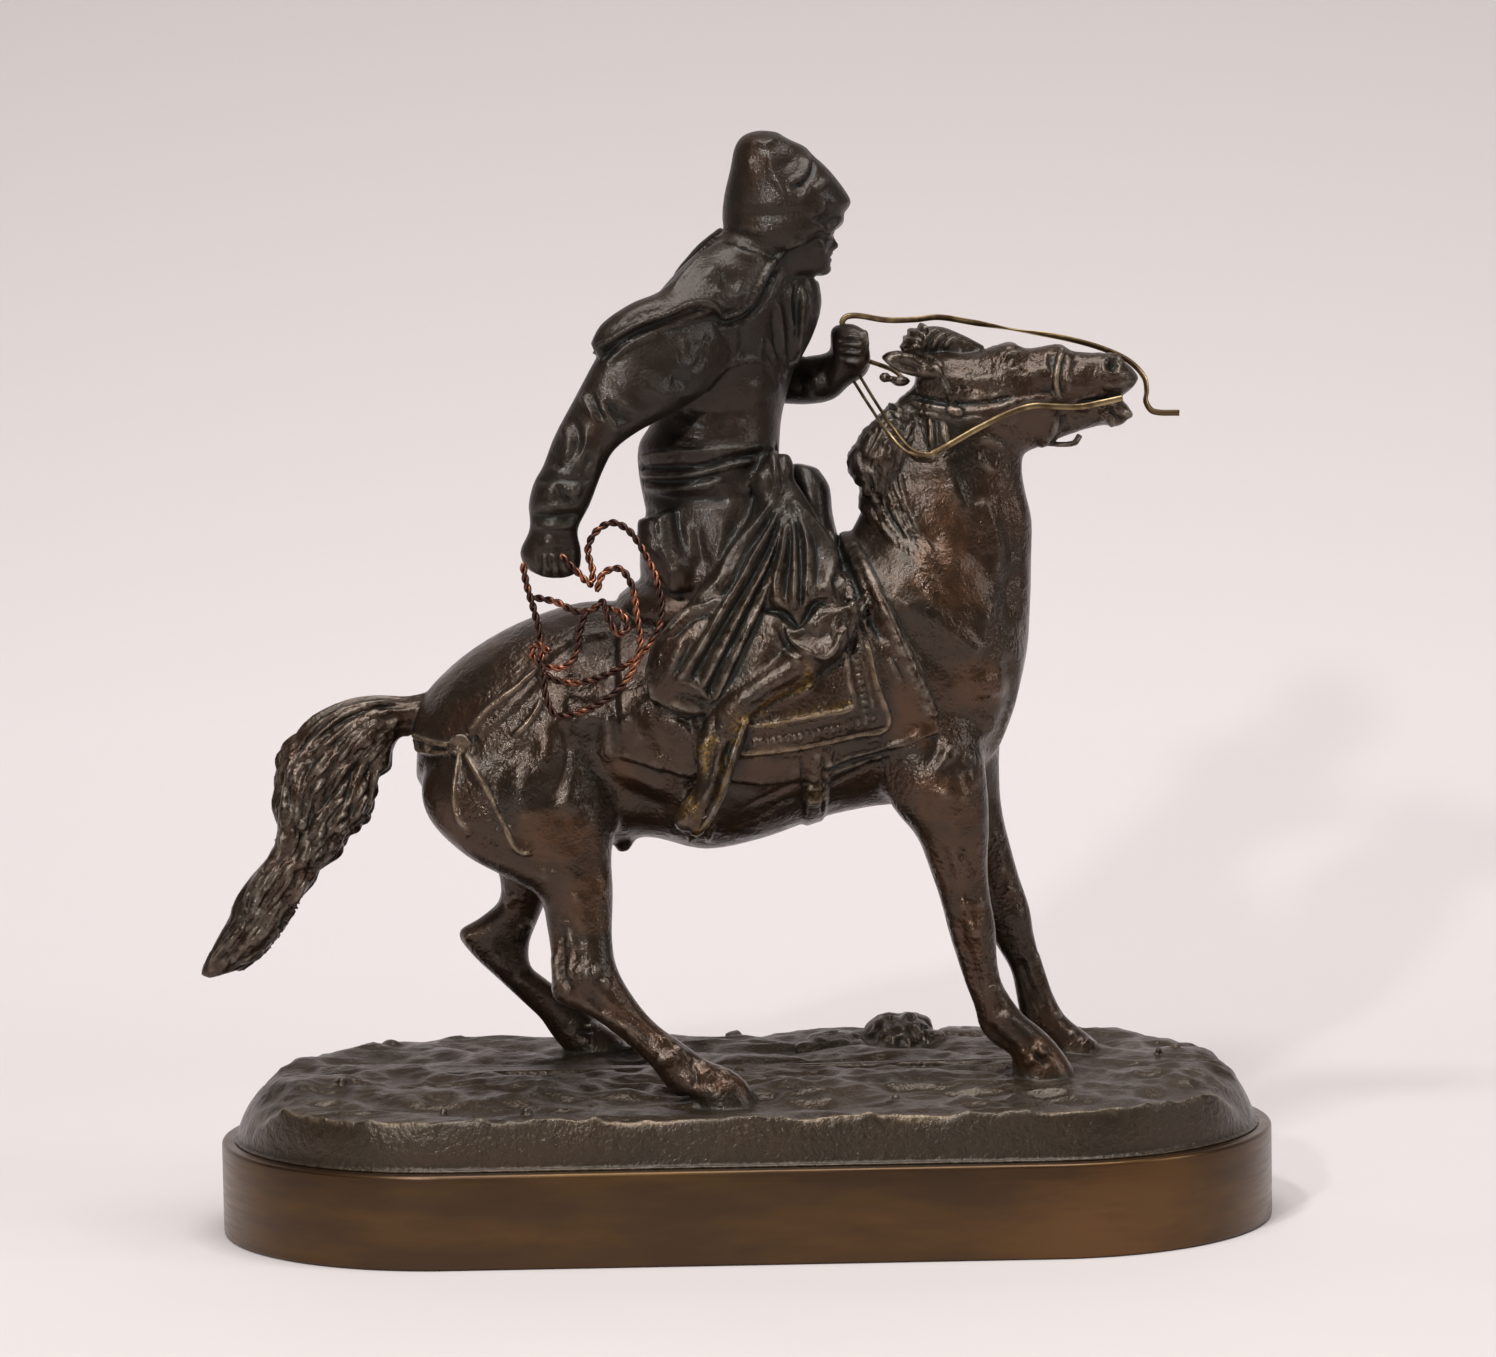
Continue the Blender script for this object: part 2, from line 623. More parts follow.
def press(obj, strokes, view="near", scale=1.0):
    """Presses strokes into what a view shows of the object, and gives how far each point rose."""
    points = points_of(obj.data)
    ends = edge_ends(obj.data)
    normals = steady_normals(obj, ends, 2)
    flat, weight = visibility(points, normals, view)
    rise, fall = np.zeros(len(points)), np.zeros(len(points))
    for height, left, right, line in strokes:
        corners = np.array(line, float)
        margin = 2.4 * max(left, right)
        low, high = corners.min(0) - margin, corners.max(0) + margin
        inside = np.nonzero(np.all((flat > low) & (flat < high), axis=1) & (weight > 0))[0]
        if not len(inside):
            continue
        pressed = height * stroke_profile(flat[inside], corners, left, right)
        target = rise if height > 0 else fall
        pick = np.maximum if height > 0 else np.minimum
        target[inside] = pick(target[inside], pressed)
    set_points(obj.data, points + normals * ((rise + fall) * weight * scale)[:, None])
    return rise * weight * scale


def beads(height, radius, spacing, line):
    """A row of small round bumps as strokes."""
    return [(height, radius, radius, [tuple(p)]) for p in curve_through(line, spacing)]


def dashes(height, width, spacing, line, across):
    """A row of short bars across a line, as strokes."""
    half = np.array(across) / 2
    return [(height, width, width, [tuple(p - half), tuple(p + half)]) for p in curve_through(line, spacing)]


def inside_distance(flat, outline):
    """How far inside an outline each point lies, below zero outside it."""
    corners = np.array(outline, float)
    following = np.roll(corners, -1, axis=0)
    gap = following - corners
    reach = flat[:, None, :] - corners[None]
    share = np.clip(np.sum(reach * gap, axis=2) / np.sum(gap ** 2, axis=1), 0, 1)
    distance = np.sqrt(np.min(np.sum((reach - share[..., None] * gap) ** 2, axis=2), axis=1))
    above = (corners[None, :, 1] > flat[:, 1:2]) != (following[None, :, 1] > flat[:, 1:2])
    rise = np.where(np.abs(gap[:, 1]) < 1e-9, 1e-9, gap[:, 1])
    crossing = corners[:, 0] + (flat[:, 1:2] - corners[:, 1]) / rise * gap[:, 0]
    inside = np.sum(above & (flat[:, 0:1] < crossing), axis=1) % 2 == 1
    return np.where(inside, distance, -distance)


def lay_cloth(obj, outline, thickness, edge=0.45):
    """Raises what lies inside a side-view outline by a cloth's thickness, on both sides."""
    points = points_of(obj.data)
    normals = steady_normals(obj, edge_ends(obj.data), 3)
    corners = np.array(outline, float) + (0, FIGURE_LIFT)
    flat = points[:, [0, 2]]
    near = np.nonzero(np.all((flat > corners.min(0) - 2) & (flat < corners.max(0) + 2), axis=1))[0]
    raised = smoothstep(-edge, edge, inside_distance(flat[near], corners)) * thickness
    points[near] += normals[near] * raised[:, None]
    set_points(obj.data, points)


# Pony: sections

BARREL = [
    (-66.4, 109, -67.8, 94, 0, 7), (-62.6, 113.6, -62, 86, 0, 13), (-55.6, 119.6, -53, 80, 0, 18),
    (-45.6, 125.2, -42, 78, 0, 20.5), (-33, 129.2, -31, 79, 0, 21), (-21, 129.2, -20, 81, 0, 21),
    (-8, 128, -8, 78.2, 0, 22), (5, 129, 4, 80.2, 0, 22.5), (17, 134, 16, 84.2, 0, 21.5),
    (28, 144, 27, 86.4, 0, 19.5), (39, 150, 37, 87.5, 0, 18), (48, 147, 46, 91.5, 0, 16.5),
    (56, 134, 53, 97, 0, 13), (60, 122, 57, 106, 0, 7.5),
]
NECK = [
    (57.8, 108, 12, 122, 0, 15), (60.2, 119, 17, 134, 0, 14.5), (61, 130, 23, 143, 0, 12.5),
    (61.3, 139, 26.5, 150, 0, 11), (61.5, 146, 28, 157, 0, 10), (60, 152.5, 30, 163, 0, 9),
    (59.5, 158, 33, 168.5, 0, 8.4), (60, 164, 37, 173.5, 0, 7.8),
]
HEAD = [
    (38, 180, 37, 170, 0, 5, 0.2), (43, 181, 42, 163.5, 0, 7.2, 0.15), (49, 180.8, 49, 160, 0, 8.2, 0.15),
    (53, 181.4, 53, 159, 0, 8.5, 0.2), (57.2, 183, 57, 158.8, 0, 8.6, 0.25),
    (60.2, 181.4, 62, 160.4, 0, 7.8, 0.2),
    (64, 181.8, 66, 162.2, 0, 6.6, 0.15), (67.8, 182.3, 69.4, 163.4, 0, 5.7, 0.1),
    (69.8, 180.8, 71.6, 165.4, 0, 5.2, 0.1), (75, 180.2, 75.4, 169.6, 0, 4.9, 0.1),
    (79, 179.2, 78.4, 171, 0, 4.8),
    (82, 177.6, 80.8, 171.4, 0, 3.8), (84, 175, 82.6, 172.8, 0, 2.2),
]
JAW = [
    (62, 171, 62, 160.6, 0, 5.6), (68, 170.6, 69, 163.2, 0, 4.6), (73, 170.6, 73.6, 164.6, 0, 4),
    (77, 170.9, 76.8, 165.2, 0, 3.7),
    (80.6, 170.3, 79.2, 164.7, 0, 3.5), (82.4, 168, 81, 165.6, 0, 2.4),
]
NEAR_FORELEG = [
    (50, 108, 24, 102, -8, 9), (50.4, 98, 28, 93.5, -11, 8.6), (50.8, 91, 31, 87.5, -13, 7.6),
    (51, 83.5, 35.8, 81.5, -13.5, 6.3), (50.6, 76, 38.3, 75, -13.5, 5), (50.9, 69.5, 40.5, 68.5, -13.5, 4.4),
    (52, 62.5, 42.4, 61, -13.3, 4.5), (52.2, 56, 44.2, 55, -13, 3.7), (53, 51.3, 45.8, 50, -13, 3.2),
    (54.8, 47.8, 47.3, 46, -13, 3.2), (57.8, 43.8, 48.6, 41, -13, 3.8), (61.2, 41, 51.5, 37.7, -13, 3.9),
    (64.3, 37.8, 54.8, 35.5, -13, 4.4), (67.8, 32.5, 55, 31.5, -13, 5.4), (69, 28, 54.8, 27, -13, 5.5),
]
FAR_FORELEG = [
    (55, 104, 32, 99, 7, 9), (54.6, 94, 37, 90, 9.5, 7.8), (55, 85, 43, 82, 10, 6),
    (56.4, 78, 46.3, 76, 9.8, 4.9), (58.4, 70, 49, 68.5, 9.3, 4.3), (60.6, 63, 51, 61, 9, 4.4),
    (61.4, 57.5, 53, 56, 9, 3.8), (63.2, 50.5, 56.3, 50, 9, 3.2), (65.2, 45, 57.6, 43.5, 9, 3.2),
    (67.6, 40.3, 58.6, 38.5, 9, 3.8), (71.5, 36.8, 61.5, 34.3, 9, 3.9), (74.6, 34.2, 64.6, 32.2, 9, 4.5),
    (79.4, 27, 66, 27, 9, 5.4),
]
NEAR_HIND_LEG = [
    (-30, 121, -61, 104, -6, 11), (-25.5, 108, -66.2, 95, -9.5, 12.5), (-25, 96, -64.8, 87, -12, 12),
    (-25.6, 86, -57.4, 79.6, -14.5, 9.8), (-27, 79.5, -49, 75, -16, 7.8), (-26.8, 72, -42.3, 71, -17.5, 6),
    (-27.2, 64, -40.5, 64, -19, 4.8), (-26.6, 57.5, -39.7, 56.5, -20.5, 4.7),
    (-24, 52, -39.6, 50.8, -21.5, 4.6), (-19, 45.5, -32, 46.8, -22.5, 3.8),
    (-13, 41, -25, 41.5, -23.5, 3.3), (-8, 37.5, -19.3, 36, -24.5, 3.7), (-3.2, 35.6, -16, 31.6, -25.5, 4),
    (0, 33, -12.5, 31, -26, 4.6), (3, 27.5, -10.2, 27, -26, 5.4),
]
FAR_HIND_LEG = [
    (-30, 104, -60, 94, 8, 11), (-30, 90, -57, 82, 12, 9.5), (-36, 78, -52, 73, 14.5, 7),
    (-40.5, 68, -51.5, 66.2, 15.8, 5.2), (-43.8, 60.5, -56, 62, 16.5, 4.5),
    (-45.4, 56, -60.5, 59, 17, 4.3), (-45.2, 51.6, -57.4, 54, 17.3, 4.3), (-42.5, 49, -52, 48.6, 17.6, 3.8),
    (-37.5, 45, -46.8, 43.4, 18, 3.3), (-33, 41.2, -43.4, 40, 18, 3.4), (-29.5, 38, -41.2, 36.6, 18, 3.9),
    (-26, 35.5, -38.6, 33.4, 18, 4.1), (-24, 32.5, -35.5, 31.5, 18, 4.6), (-21.5, 27.5, -34, 27.5, 18, 5.3),
]
TAIL = [
    (-60, 113.6, -62, 103, 0, 4), (-69, 111.2, -70, 103, -1, 4.4), (-76, 111.3, -72.3, 100.8, -2, 5),
    (-81.8, 110.2, -73, 97.2, -2.6, 5.6), (-87.8, 107.1, -75.4, 95, -3, 6),
    (-92.3, 103, -75.8, 91.7, -3.6, 6.4),
    (-95.3, 98.9, -77.4, 87.4, -4.2, 6.6), (-96.2, 93.6, -79.7, 84.7, -5, 6.4),
    (-97, 88.9, -82.8, 82.8, -5.6, 6.2),
    (-95.8, 85.5, -83.2, 80.8, -6, 5.6), (-97.9, 79.4, -85.4, 78, -6.4, 5.6),
    (-100.5, 76.3, -88.1, 76.7, -6.8, 5.2),
    (-103.6, 72.3, -89.7, 73.4, -7, 5), (-105.6, 69, -93.1, 69.6, -7, 4.6),
    (-106, 66.5, -96.3, 65.1, -7.6, 4.2),
    (-108.5, 62.6, -98.6, 61.4, -8, 3.6), (-110.3, 59.8, -102.8, 57.6, -8, 2.8),
    (-112.2, 56.4, -107.4, 55, -8, 1.8),
    (-112.9, 54.8, -111, 54, -8, 0.8),
]
# The tail's two edges in the near view, from its root to its tip
TAIL_UPPER_EDGE = [
    (-71, 110.6), (-80, 110), (-88, 106), (-93.6, 100), (-95.4, 93), (-96.2, 87), (-96.4, 82), (-99, 77.4),
    (-103, 72), (-105, 67), (-108, 62), (-112, 56),
]
TAIL_LOWER_EDGE = [
    (-71.6, 104.6), (-73, 100), (-75.6, 95), (-77, 90), (-79.6, 85), (-83, 82.6), (-84.4, 79), (-88.4, 76),
    (-91, 71.6), (-95, 66), (-99, 60.4), (-106, 55.4),
]
NEAR_EAR = [
    (42.6, 178, 42.2, 174.8, -4.6, 2.4), (39.6, 179.3, 39.6, 175.6, -6, 2.2),
    (37, 180.7, 37, 176.2, -6.8, 2.0),
    (34.4, 181.2, 34.6, 176.9, -7.4, 1.7), (32.2, 180.9, 32.4, 178, -7.8, 1.2),
    (30.9, 180, 31, 179.4, -8, 0.6),
]
FORELOCK = [
    (52, 182, 50, 179, 1, 1.8), (47.5, 184.4, 46, 179, 1.5, 3), (42.5, 186.2, 42, 179, 2.5, 3.4),
    (37, 185.4, 39, 178.5, 3.5, 3.2), (34.4, 182, 37, 178, 4, 2),
]
MANE = [
    (39, 176, 43, 170, 0, 3.6), (33.5, 170.8, 39.4, 164, -0.5, 5.4), (28, 166.6, 36.6, 158, -1, 7),
    (23.6, 160.6, 34, 152.6, -1, 7.6), (23.2, 156.6, 31, 149, -1, 6.6), (25.4, 153.4, 32, 146, -1, 5.8),
    (25.2, 149, 31, 141, -1, 5.4),
]
MANE_BACK_EDGE = [(32, 168.6), (27.4, 164.6), (25, 159.6), (26.4, 155), (27, 150), (29.6, 145), (33, 140)]
MANE_FRONT_EDGE = [(37.6, 166), (36, 161), (34.6, 156), (35.4, 151), (37.4, 146), (40, 141), (43, 137)]
SHEATH = [(-21, 85, -28, 85, 0, 3.4), (-22, 80.8, -27, 80.8, 0, 2.6), (-23.4, 77.7, -26.4, 77.3, 0, 1.6)]

# Side-view outlines of what lies on the pony
BLANKET_OUTLINE = [
    (-25, 140), (-25, 100), (-12, 96), (4, 94), (17, 95), (25, 97.5), (35, 100), (41, 103.5),
    (38, 112), (35, 119), (31, 128), (27, 136), (23.5, 144), (20, 150),
]
SADDLE_CLOTH_OUTLINE = [(-9.4, 135), (-9.4, 99.2), (0.4, 99.8), (30.5, 105.5), (25.5, 122), (20.3, 135)]
CROUP_CLOTH_OUTLINE = [
    (-72, 103.8), (-68, 103), (-64, 101.8), (-58, 101.6), (-50, 109), (-45, 113.5), (-42, 116.5),
    (-38, 120.5),
    (-34, 123), (-22, 125), (-22, 140), (-72, 140),
]
GIRTH_OUTLINE = [(14.4, 101), (13.4, 92), (12.4, 76), (16.2, 76), (17.6, 92), (18.6, 101)]
BLANKET_THICKNESS = 1.4
SADDLE_CLOTH_THICKNESS = 1.1
CROUP_CLOTH_THICKNESS = 1.0
GIRTH_THICKNESS = 0.8

# Rider: sections

TORSO = [
    (9.4, 147, -18.4, 147, 0, 13.2), (9, 157, -20.2, 157, 0, 14), (9.2, 163, -20, 163, 0, 13.8, 0, 0, 1),
    (9.6, 168, -17, 168, 0, 12.6, 0, 0, 2), (11, 174, -16.5, 175, 0, 13.6, 0, 1, 3),
    (13, 181, -17, 183, 0, 15.6, 0, 2, 5), (15, 188, -16, 191, 0, 17.6, 0, 2, 7),
    (16, 193, -11, 198, 0, 15, 0, 2, 6), (15.5, 197, -5, 204, 0, 9.5, 0, 1, 3),
    (15, 201, 0, 208, 0, 7, 0, 0, 1),
]
RIGHT_ARM = [
    (-10, 197, 0, 181, -10, 7.5), (-21, 191.5, -6, 174, -16.5, 8), (-28, 182, -14, 169.5, -21, 7.6),
    (-33, 173.2, -20.3, 166.4, -23.5, 6.8), (-37, 166, -25, 162.8, -25, 6.4),
    (-39.4, 160, -27.4, 158.4, -26, 6.2), (-41.2, 157, -28.4, 156, -26.5, 6.5),
    (-42.4, 152.6, -30, 152, -26.5, 6.4), (-42.2, 149.2, -32, 148.4, -26.5, 5.4),
    (-42.4, 147, -32.6, 146.6, -26.5, 4.8), (-44.4, 142.8, -31.8, 142.6, -26.5, 5.2),
    (-43, 139.4, -32.4, 138.8, -26.5, 5), (-39.6, 137.6, -35, 137.4, -26.5, 2.8),
]
LEFT_ARM = [
    (15, 194, -1, 190, 13, 6.6), (15.5, 185, -1, 181, 17.5, 6.4), (14, 179.5, 2, 171, 19, 6),
    (15.5, 180, 10.5, 170, 17.5, 5.4), (18, 180.4, 16.5, 169.9, 15, 5.2), (20.4, 181.4, 21, 171, 12.5, 5),
    (20.6, 186, 24.4, 174, 10.5, 4.4), (24.6, 187, 27.4, 175.8, 9.5, 4.8), (27.8, 185.4, 28.8, 178.4, 9, 3.6),
]
RIDER_HEAD = [
    (16, 197, 6, 199, 0, 4.6), (20, 198, 5, 202, 0, 5.6), (20.8, 202.4, 4, 206, 0, 6.4),
    (20.8, 207, 4, 210, 0, 6.6), (19, 212, 5, 214, 0, 5.8),
]
CAP = [
    (19.5, 205.4, 2.4, 200.9, 0, 8), (22.6, 207.2, 0.2, 203, 0, 9.1), (23.4, 208.6, -1.2, 205.4, 0, 9.3),
    (23.2, 209.7, -1.9, 208.4, 0, 9.2), (24.8, 211.9, -1.9, 211, 0, 9.3), (24.2, 213.6, -1.5, 214, 0, 9),
    (22.2, 216.6, -0.6, 217.6, 0, 8.4), (19.4, 219.9, 0.1, 220.4, 0, 7.6), (17.2, 221.8, 0.5, 222.8, 0, 6.9),
    (15.4, 223.8, 1.4, 225, 0, 5.8), (12, 225.4, 3.2, 226.6, 0, 4.4), (9.8, 226.9, 6, 227.3, 0, 2.2),
]
HOOD = [
    (13.5, 204.4, -1, 207, 0, 6.6), (12.6, 201, -3.4, 205.2, 0, 7.2), (11, 197, -7.5, 202, 0, 10.4, 0, 0, 2),
    (10, 194, -12, 197, 0, 15.2, 0, 0, 5), (9, 191.5, -13.5, 193, 0, 16.5, 0, 0, 6),
]
RIGHT_FLAP = [
    (-3, 205, 9, 200, -7, 3.4), (-9.5, 200, 3, 192, -13, 3.8), (-15, 195, -4, 190, -17.5, 4),
    (-21, 192.6, -12, 187.8, -20.5, 4), (-27, 188.6, -19.5, 183, -22, 4.2),
    (-29.4, 184.6, -26, 179.6, -22.5, 3),
]
LEFT_FLAP = [
    (-2.4, 207.6, 4, 203, 5, 3), (-6.8, 204.2, 2, 198, 8, 3.4), (-9.4, 201.4, 0, 194, 11, 3.6),
    (-12.6, 196.6, 0, 190, 14, 3.8), (-8, 191, 6, 186, 18, 3.6), (3, 188, 12, 183, 20.5, 3),
]
LAPEL = [(18, 196, 10, 198, 2, 5), (18.4, 191, 9, 192, 1, 5.5), (16.6, 185, 9, 186, 1, 4.6),
    (13.4, 179, 8, 180, 1, 3)]
SASH_KNOT = [(11, 161, 6, 161, -11, 3), (12, 157.6, 4.4, 157.4, -12.5, 3.8),
    (10.2, 154.9, 5.3, 154.1, -13.2, 2.7)]
BOW_CASE = [
    (-20.6, 148, -13, 150, -12, 3.4), (-20.4, 142, -12, 144, -14, 4), (-17, 137, -9, 139, -15, 3.6),
    (-14.4, 133, -9, 134, -15.5, 2.4),
]
REAR_SKIRT = [
    (3.8, 156.6, 8.2, 158.6, -12.3, 3.1), (3, 149, 12, 147, -14.5, 4.4), (-3, 140, 10, 138, -17.5, 5.4),
    (-9, 133, 6, 128, -20.5, 6), (-15.4, 126.6, 1, 118, -22.6, 5.6), (-19, 120.5, -6, 109.6, -24, 4),
    (-18.4, 112.5, -12, 108.4, -24.5, 2.2),
]
FRONT_SKIRT = [
    (10.3, 158.4, 6.1, 153.8, -11.6, 2.9), (16, 149, 5, 147, -14.5, 4.6), (20.4, 139, 5, 138, -18, 5.8),
    (21.6, 132, 4.6, 132, -20.6, 5.8), (20, 128.4, 6, 128.4, -21.4, 4),
]
SEAT_OF_COAT = [
    (10, 152, -18, 152, 0, 14), (14, 144, -20, 143, 0, 16.5), (17, 136, -20, 134, 0, 18.5),
    (18, 130, -17, 128, 0, 18),
]
KNEE_FLAP = [
    (24, 131, 9, 129, -23.5, 2.6), (23.6, 126, 9.6, 125, -25, 2.8), (21, 121.6, 12.6, 121.6, -25.6, 2.6),
    (18.4, 119.4, 15, 119.4, -25.4, 1.4),
]
BOOT = [
    (26.6, 132, 20, 118.6, -19, 6.4), (18, 128.4, 13, 114.2, -22.6, 5.4), (9.4, 122, 6, 110.6, -24, 4.9),
    (2, 116.4, 1.4, 107.6, -24.6, 4.2), (-5, 111, 1.4, 105.4, -25, 3.7), (-9, 104.2, 0.4, 102.2, -25.2, 3.3),
    (-9.2, 98.8, -1.4, 97.6, -25.2, 3), (-9.8, 94.4, -3, 92.8, -25.2, 2.9), (-13, 89.8, -6, 88.2, -25, 3),
    (-14.4, 87, -8, 85.6, -24.8, 2.6), (-13.2, 85, -10.8, 84.6, -24.4, 1.3),
]
# The coat over the thigh, between the rear skirt and the knee
THIGH = [
    (13, 135, -2, 131, -17.6, 5.4), (13, 129, -2, 125, -20.2, 5.2), (10.4, 122, -4, 118, -22.4, 4.4),
    (5, 115, -6, 111.6, -23.4, 3.4),
]
STIRRUP_ROUTE = [
    (2.4, -25.2, 113), (0.2, -28.3, 106.6), (-2.5, -29.2, 98.7), (-4.8, -29.2, 92), (-7.2, -28.4, 87.4),
    (-9.4, -25.4, 84.6), (-9.8, -22, 85.4), (-7.6, -20.8, 90),
]
STIRRUP_DIAMETER = 1.5
SADDLE_SEAT = [
    (-25, 131.6, -25, 124, 0, 8), (-21, 134.4, -22, 124, 0, 12), (-14, 136, -14, 122, 0, 16),
    (4, 138, 4, 122, 0, 17.5), (14, 142, 14, 126, 0, 15), (20, 146.6, 21.6, 132, 0, 11),
]
POMMEL = [
    (11.6, 158.6, 17, 157.4, 0, 4), (11.6, 154.6, 19.4, 153.6, 0, 6.6), (12, 148, 20, 147.6, 0, 8),
    (12, 140, 22, 139, 0, 9.5),
]

# Loose metal pieces: routes

NEAR_REIN_ROUTE = [
    (25.8, 8.2, 175.2), (28.6, 0, 170.4), (32, -9.4, 165.2), (36, -11.8, 161), (40, -12, 160.4),
    (44, -11.6, 162.4), (50, -10.6, 165.6), (56, -10.4, 168.4), (61, -9.8, 169.8), (66, -8.6, 169.6),
    (71, -7, 169.4), (76, -6.2, 170.2), (80, -6, 171),
]
FAR_REIN_ROUTE = [
    (23, 9.4, 186.4), (22.9, 9.4, 187.4), (23.8, 9.3, 188.3), (26, 9, 188.5), (32, 8.6, 187.5),
    (38, 8.2, 187.5), (43, 8, 187.9),
    (50, 8, 186.7), (60, 7.6, 184.8), (68, 6.8, 183.4), (76, 5.6, 181.2), (82, 4.4, 178.4),
    (85.2, 3, 175), (85.6, 1, 172.2), (85.2, -1.4, 170), (86.6, -2.4, 168), (92, -3, 167.6),
]
SHORT_REIN_ROUTE = [(28.2, 8.2, 179), (31.4, 5, 177.9), (33.4, 1, 177), (35, -1.4, 175.6)]
LASSO_ROUTES = [
    [
        (-36, -33.2, 142.6), (-33, -32.8, 139.4), (-30, -31.4, 136.4), (-29.6, -30.4, 139),
        (-30.5, -29.8, 143),
        (-29, -29.4, 146.6), (-25.5, -29.2, 148.6), (-22, -29.2, 146.8), (-18.6, -29.4, 141.6),
        (-16.4, -29.6, 136), (-15.8, -29.8, 130.4), (-17, -30, 126), (-20.4, -30, 121.6), (-26, -30, 118.4),
        (-32, -30, 116.4), (-37, -30.6, 116.8), (-40, -31.5, 118.6),
    ],
    [
        (-43.6, -33, 141), (-43, -32.8, 137), (-41.6, -32.4, 131.6), (-40.4, -32, 126), (-40, -31.6, 119),
        (-39.4, -31.4, 113.4), (-37.6, -31.6, 110), (-33, -32, 110.4), (-27, -32, 113.2), (-22.4, -32, 118),
        (-20.2, -31.8, 124), (-20.8, -31.6, 130), (-21.6, -31.6, 135.6), (-24, -31.8, 139.4),
        (-27.4, -32.2, 138.6), (-28.8, -32.4, 135),
    ],
    [
        (-41.4, -32.2, 134), (-37, -32.6, 133), (-33, -32.4, 131), (-30, -32.2, 131.2), (-27.6, -32.2, 132.8),
        (-26.6, -33.4, 129.8), (-24.6, -33.4, 126.4), (-22.8, -33.4, 127.4), (-23.8, -33.2, 130.4),
        (-27.2, -32.4, 131.8),
    ],
    [
        (-31, -32.2, 131.2), (-32.4, -32, 127), (-33, -31.6, 123), (-35.4, -31.4, 119.8), (-39.6, -31.6, 120),
        (-42.2, -31.8, 122.4), (-41.4, -32.4, 124.6), (-38.6, -32.6, 123),
    ],
]
LASSO_WIRE_DIAMETER = 0.8
LASSO_PITCH = 4.0
REIN_WIDTH = 1.3
REIN_THICKNESS = 0.8
SHORT_REIN_DIAMETER = 1.0


# Pony: muscles, skin folds and tack, as strokes in the near view

PONY_BODY_STROKES = [
    # Shoulder: the polished ridge down to its point, with the groove behind it
    (0.9, 2.4, 2.0, [(31, 132), (36, 128.5), (41, 125.5), (46, 121.5), (51, 118)]),
    (-0.9, 2.4, 2.6, [(31, 126), (36, 121), (41, 117), (46, 112.5)]),
    (1.0, 3.2, 3.2, [(51.5, 114), (52, 109)]),
    (-0.6, 1.6, 1.6, [(45, 106), (50, 104), (54, 102)]),
    # Neck: its thin edge over the jugular groove, and the windpipe in front of it
    (0.8, 0.9, 2.6, [(51, 151), (52.6, 147), (54, 142), (54.3, 138), (53.8, 133.5)]),
    (-0.7, 1.6, 1.6, [(56, 152), (57, 146), (57.4, 139), (56.6, 132), (55.6, 124)]),
    (0.6, 1.2, 1.2, [(52.5, 130), (51.8, 126), (50.5, 121)]),
    (0.6, 1.6, 1.6, [(42.5, 160), (45, 155), (46.4, 150), (49, 147)]),
    (-0.5, 1.6, 1.6, [(48, 158), (49.6, 153), (50, 149)]),
    (0.5, 1.8, 1.8, [(38, 138), (40, 133), (41.6, 129)]),
    (-0.5, 2.2, 2.2, [(34, 140), (38, 142), (43, 142)]),
    # Breast
    (-0.9, 1.0, 1.8, [(56.4, 118), (57, 113), (56.4, 107), (54.4, 101.5), (51.6, 97)]),
    (0.9, 2.4, 2.4, [(42, 98), (44, 95.5)]),
    (0.8, 1.6, 1.6, [(46, 96.5), (49, 96.5)]),
    (-0.7, 1.4, 1.4, [(40.4, 104), (41, 99), (39.6, 95)]),
    (0.5, 1.2, 1.2, [(44.6, 94), (45.4, 91), (45.8, 88)]),
    (0.5, 1.0, 1.0, [(47.6, 93.6), (48.6, 90)]),
    (0.7, 1.5, 1.5, [(42.2, 90), (43.2, 87.6)]),
    (0.7, 1.1, 1.1, [(46.4, 88.4)]),
    # Flank and thigh
    (-1.3, 2.0, 2.6, [(-31, 106), (-30.8, 99), (-28, 93.5), (-22, 89.5), (-15, 86.5)]),
    (1.0, 1.6, 1.6, [(-27.4, 108), (-27.6, 102), (-27.4, 97)]),
    (-0.8, 1.6, 1.8, [(-37, 106), (-36.2, 100), (-37.4, 94), (-40, 90)]),
    (0.7, 2.4, 2.4, [(-40.5, 106), (-40.6, 100), (-42.5, 96)]),
    (0.9, 3.0, 3.0, [(-45.6, 96), (-46, 90), (-44.4, 85)]),
    (0.7, 2.4, 2.4, [(-38, 89.6), (-34, 87.6)]),
    (-0.8, 2.0, 2.0, [(-42, 101), (-49, 97), (-51.5, 90), (-49, 83)]),
    (-0.5, 1.6, 1.6, [(-32, 91), (-31, 87.4)]),
    (0.5, 1.6, 1.6, [(-32.4, 86), (-31.2, 83.4)]),
    (-0.7, 1.2, 2.4, [(-58, 83), (-52, 79.5), (-46, 77), (-38, 76)]),
    (0.5, 2.6, 1.6, [(-52, 77.4), (-46, 74.6), (-40, 73)]),
    (0.6, 1.4, 1.4, [(-24, 95), (-19, 92.6), (-15.6, 91)]),
    (0.7, 1.6, 1.6, [(-24, 107), (-21.4, 104), (-21, 100.6)]),
    (-0.6, 1.3, 1.3, [(-24.6, 104), (-24.4, 99)]),
    (-0.6, 1.1, 1.1, [(-18, 105), (-17, 101), (-13, 97)]),
    (0.4, 0.6, 0.6, [(-18.6, 97.6), (-13.4, 92)]),
]

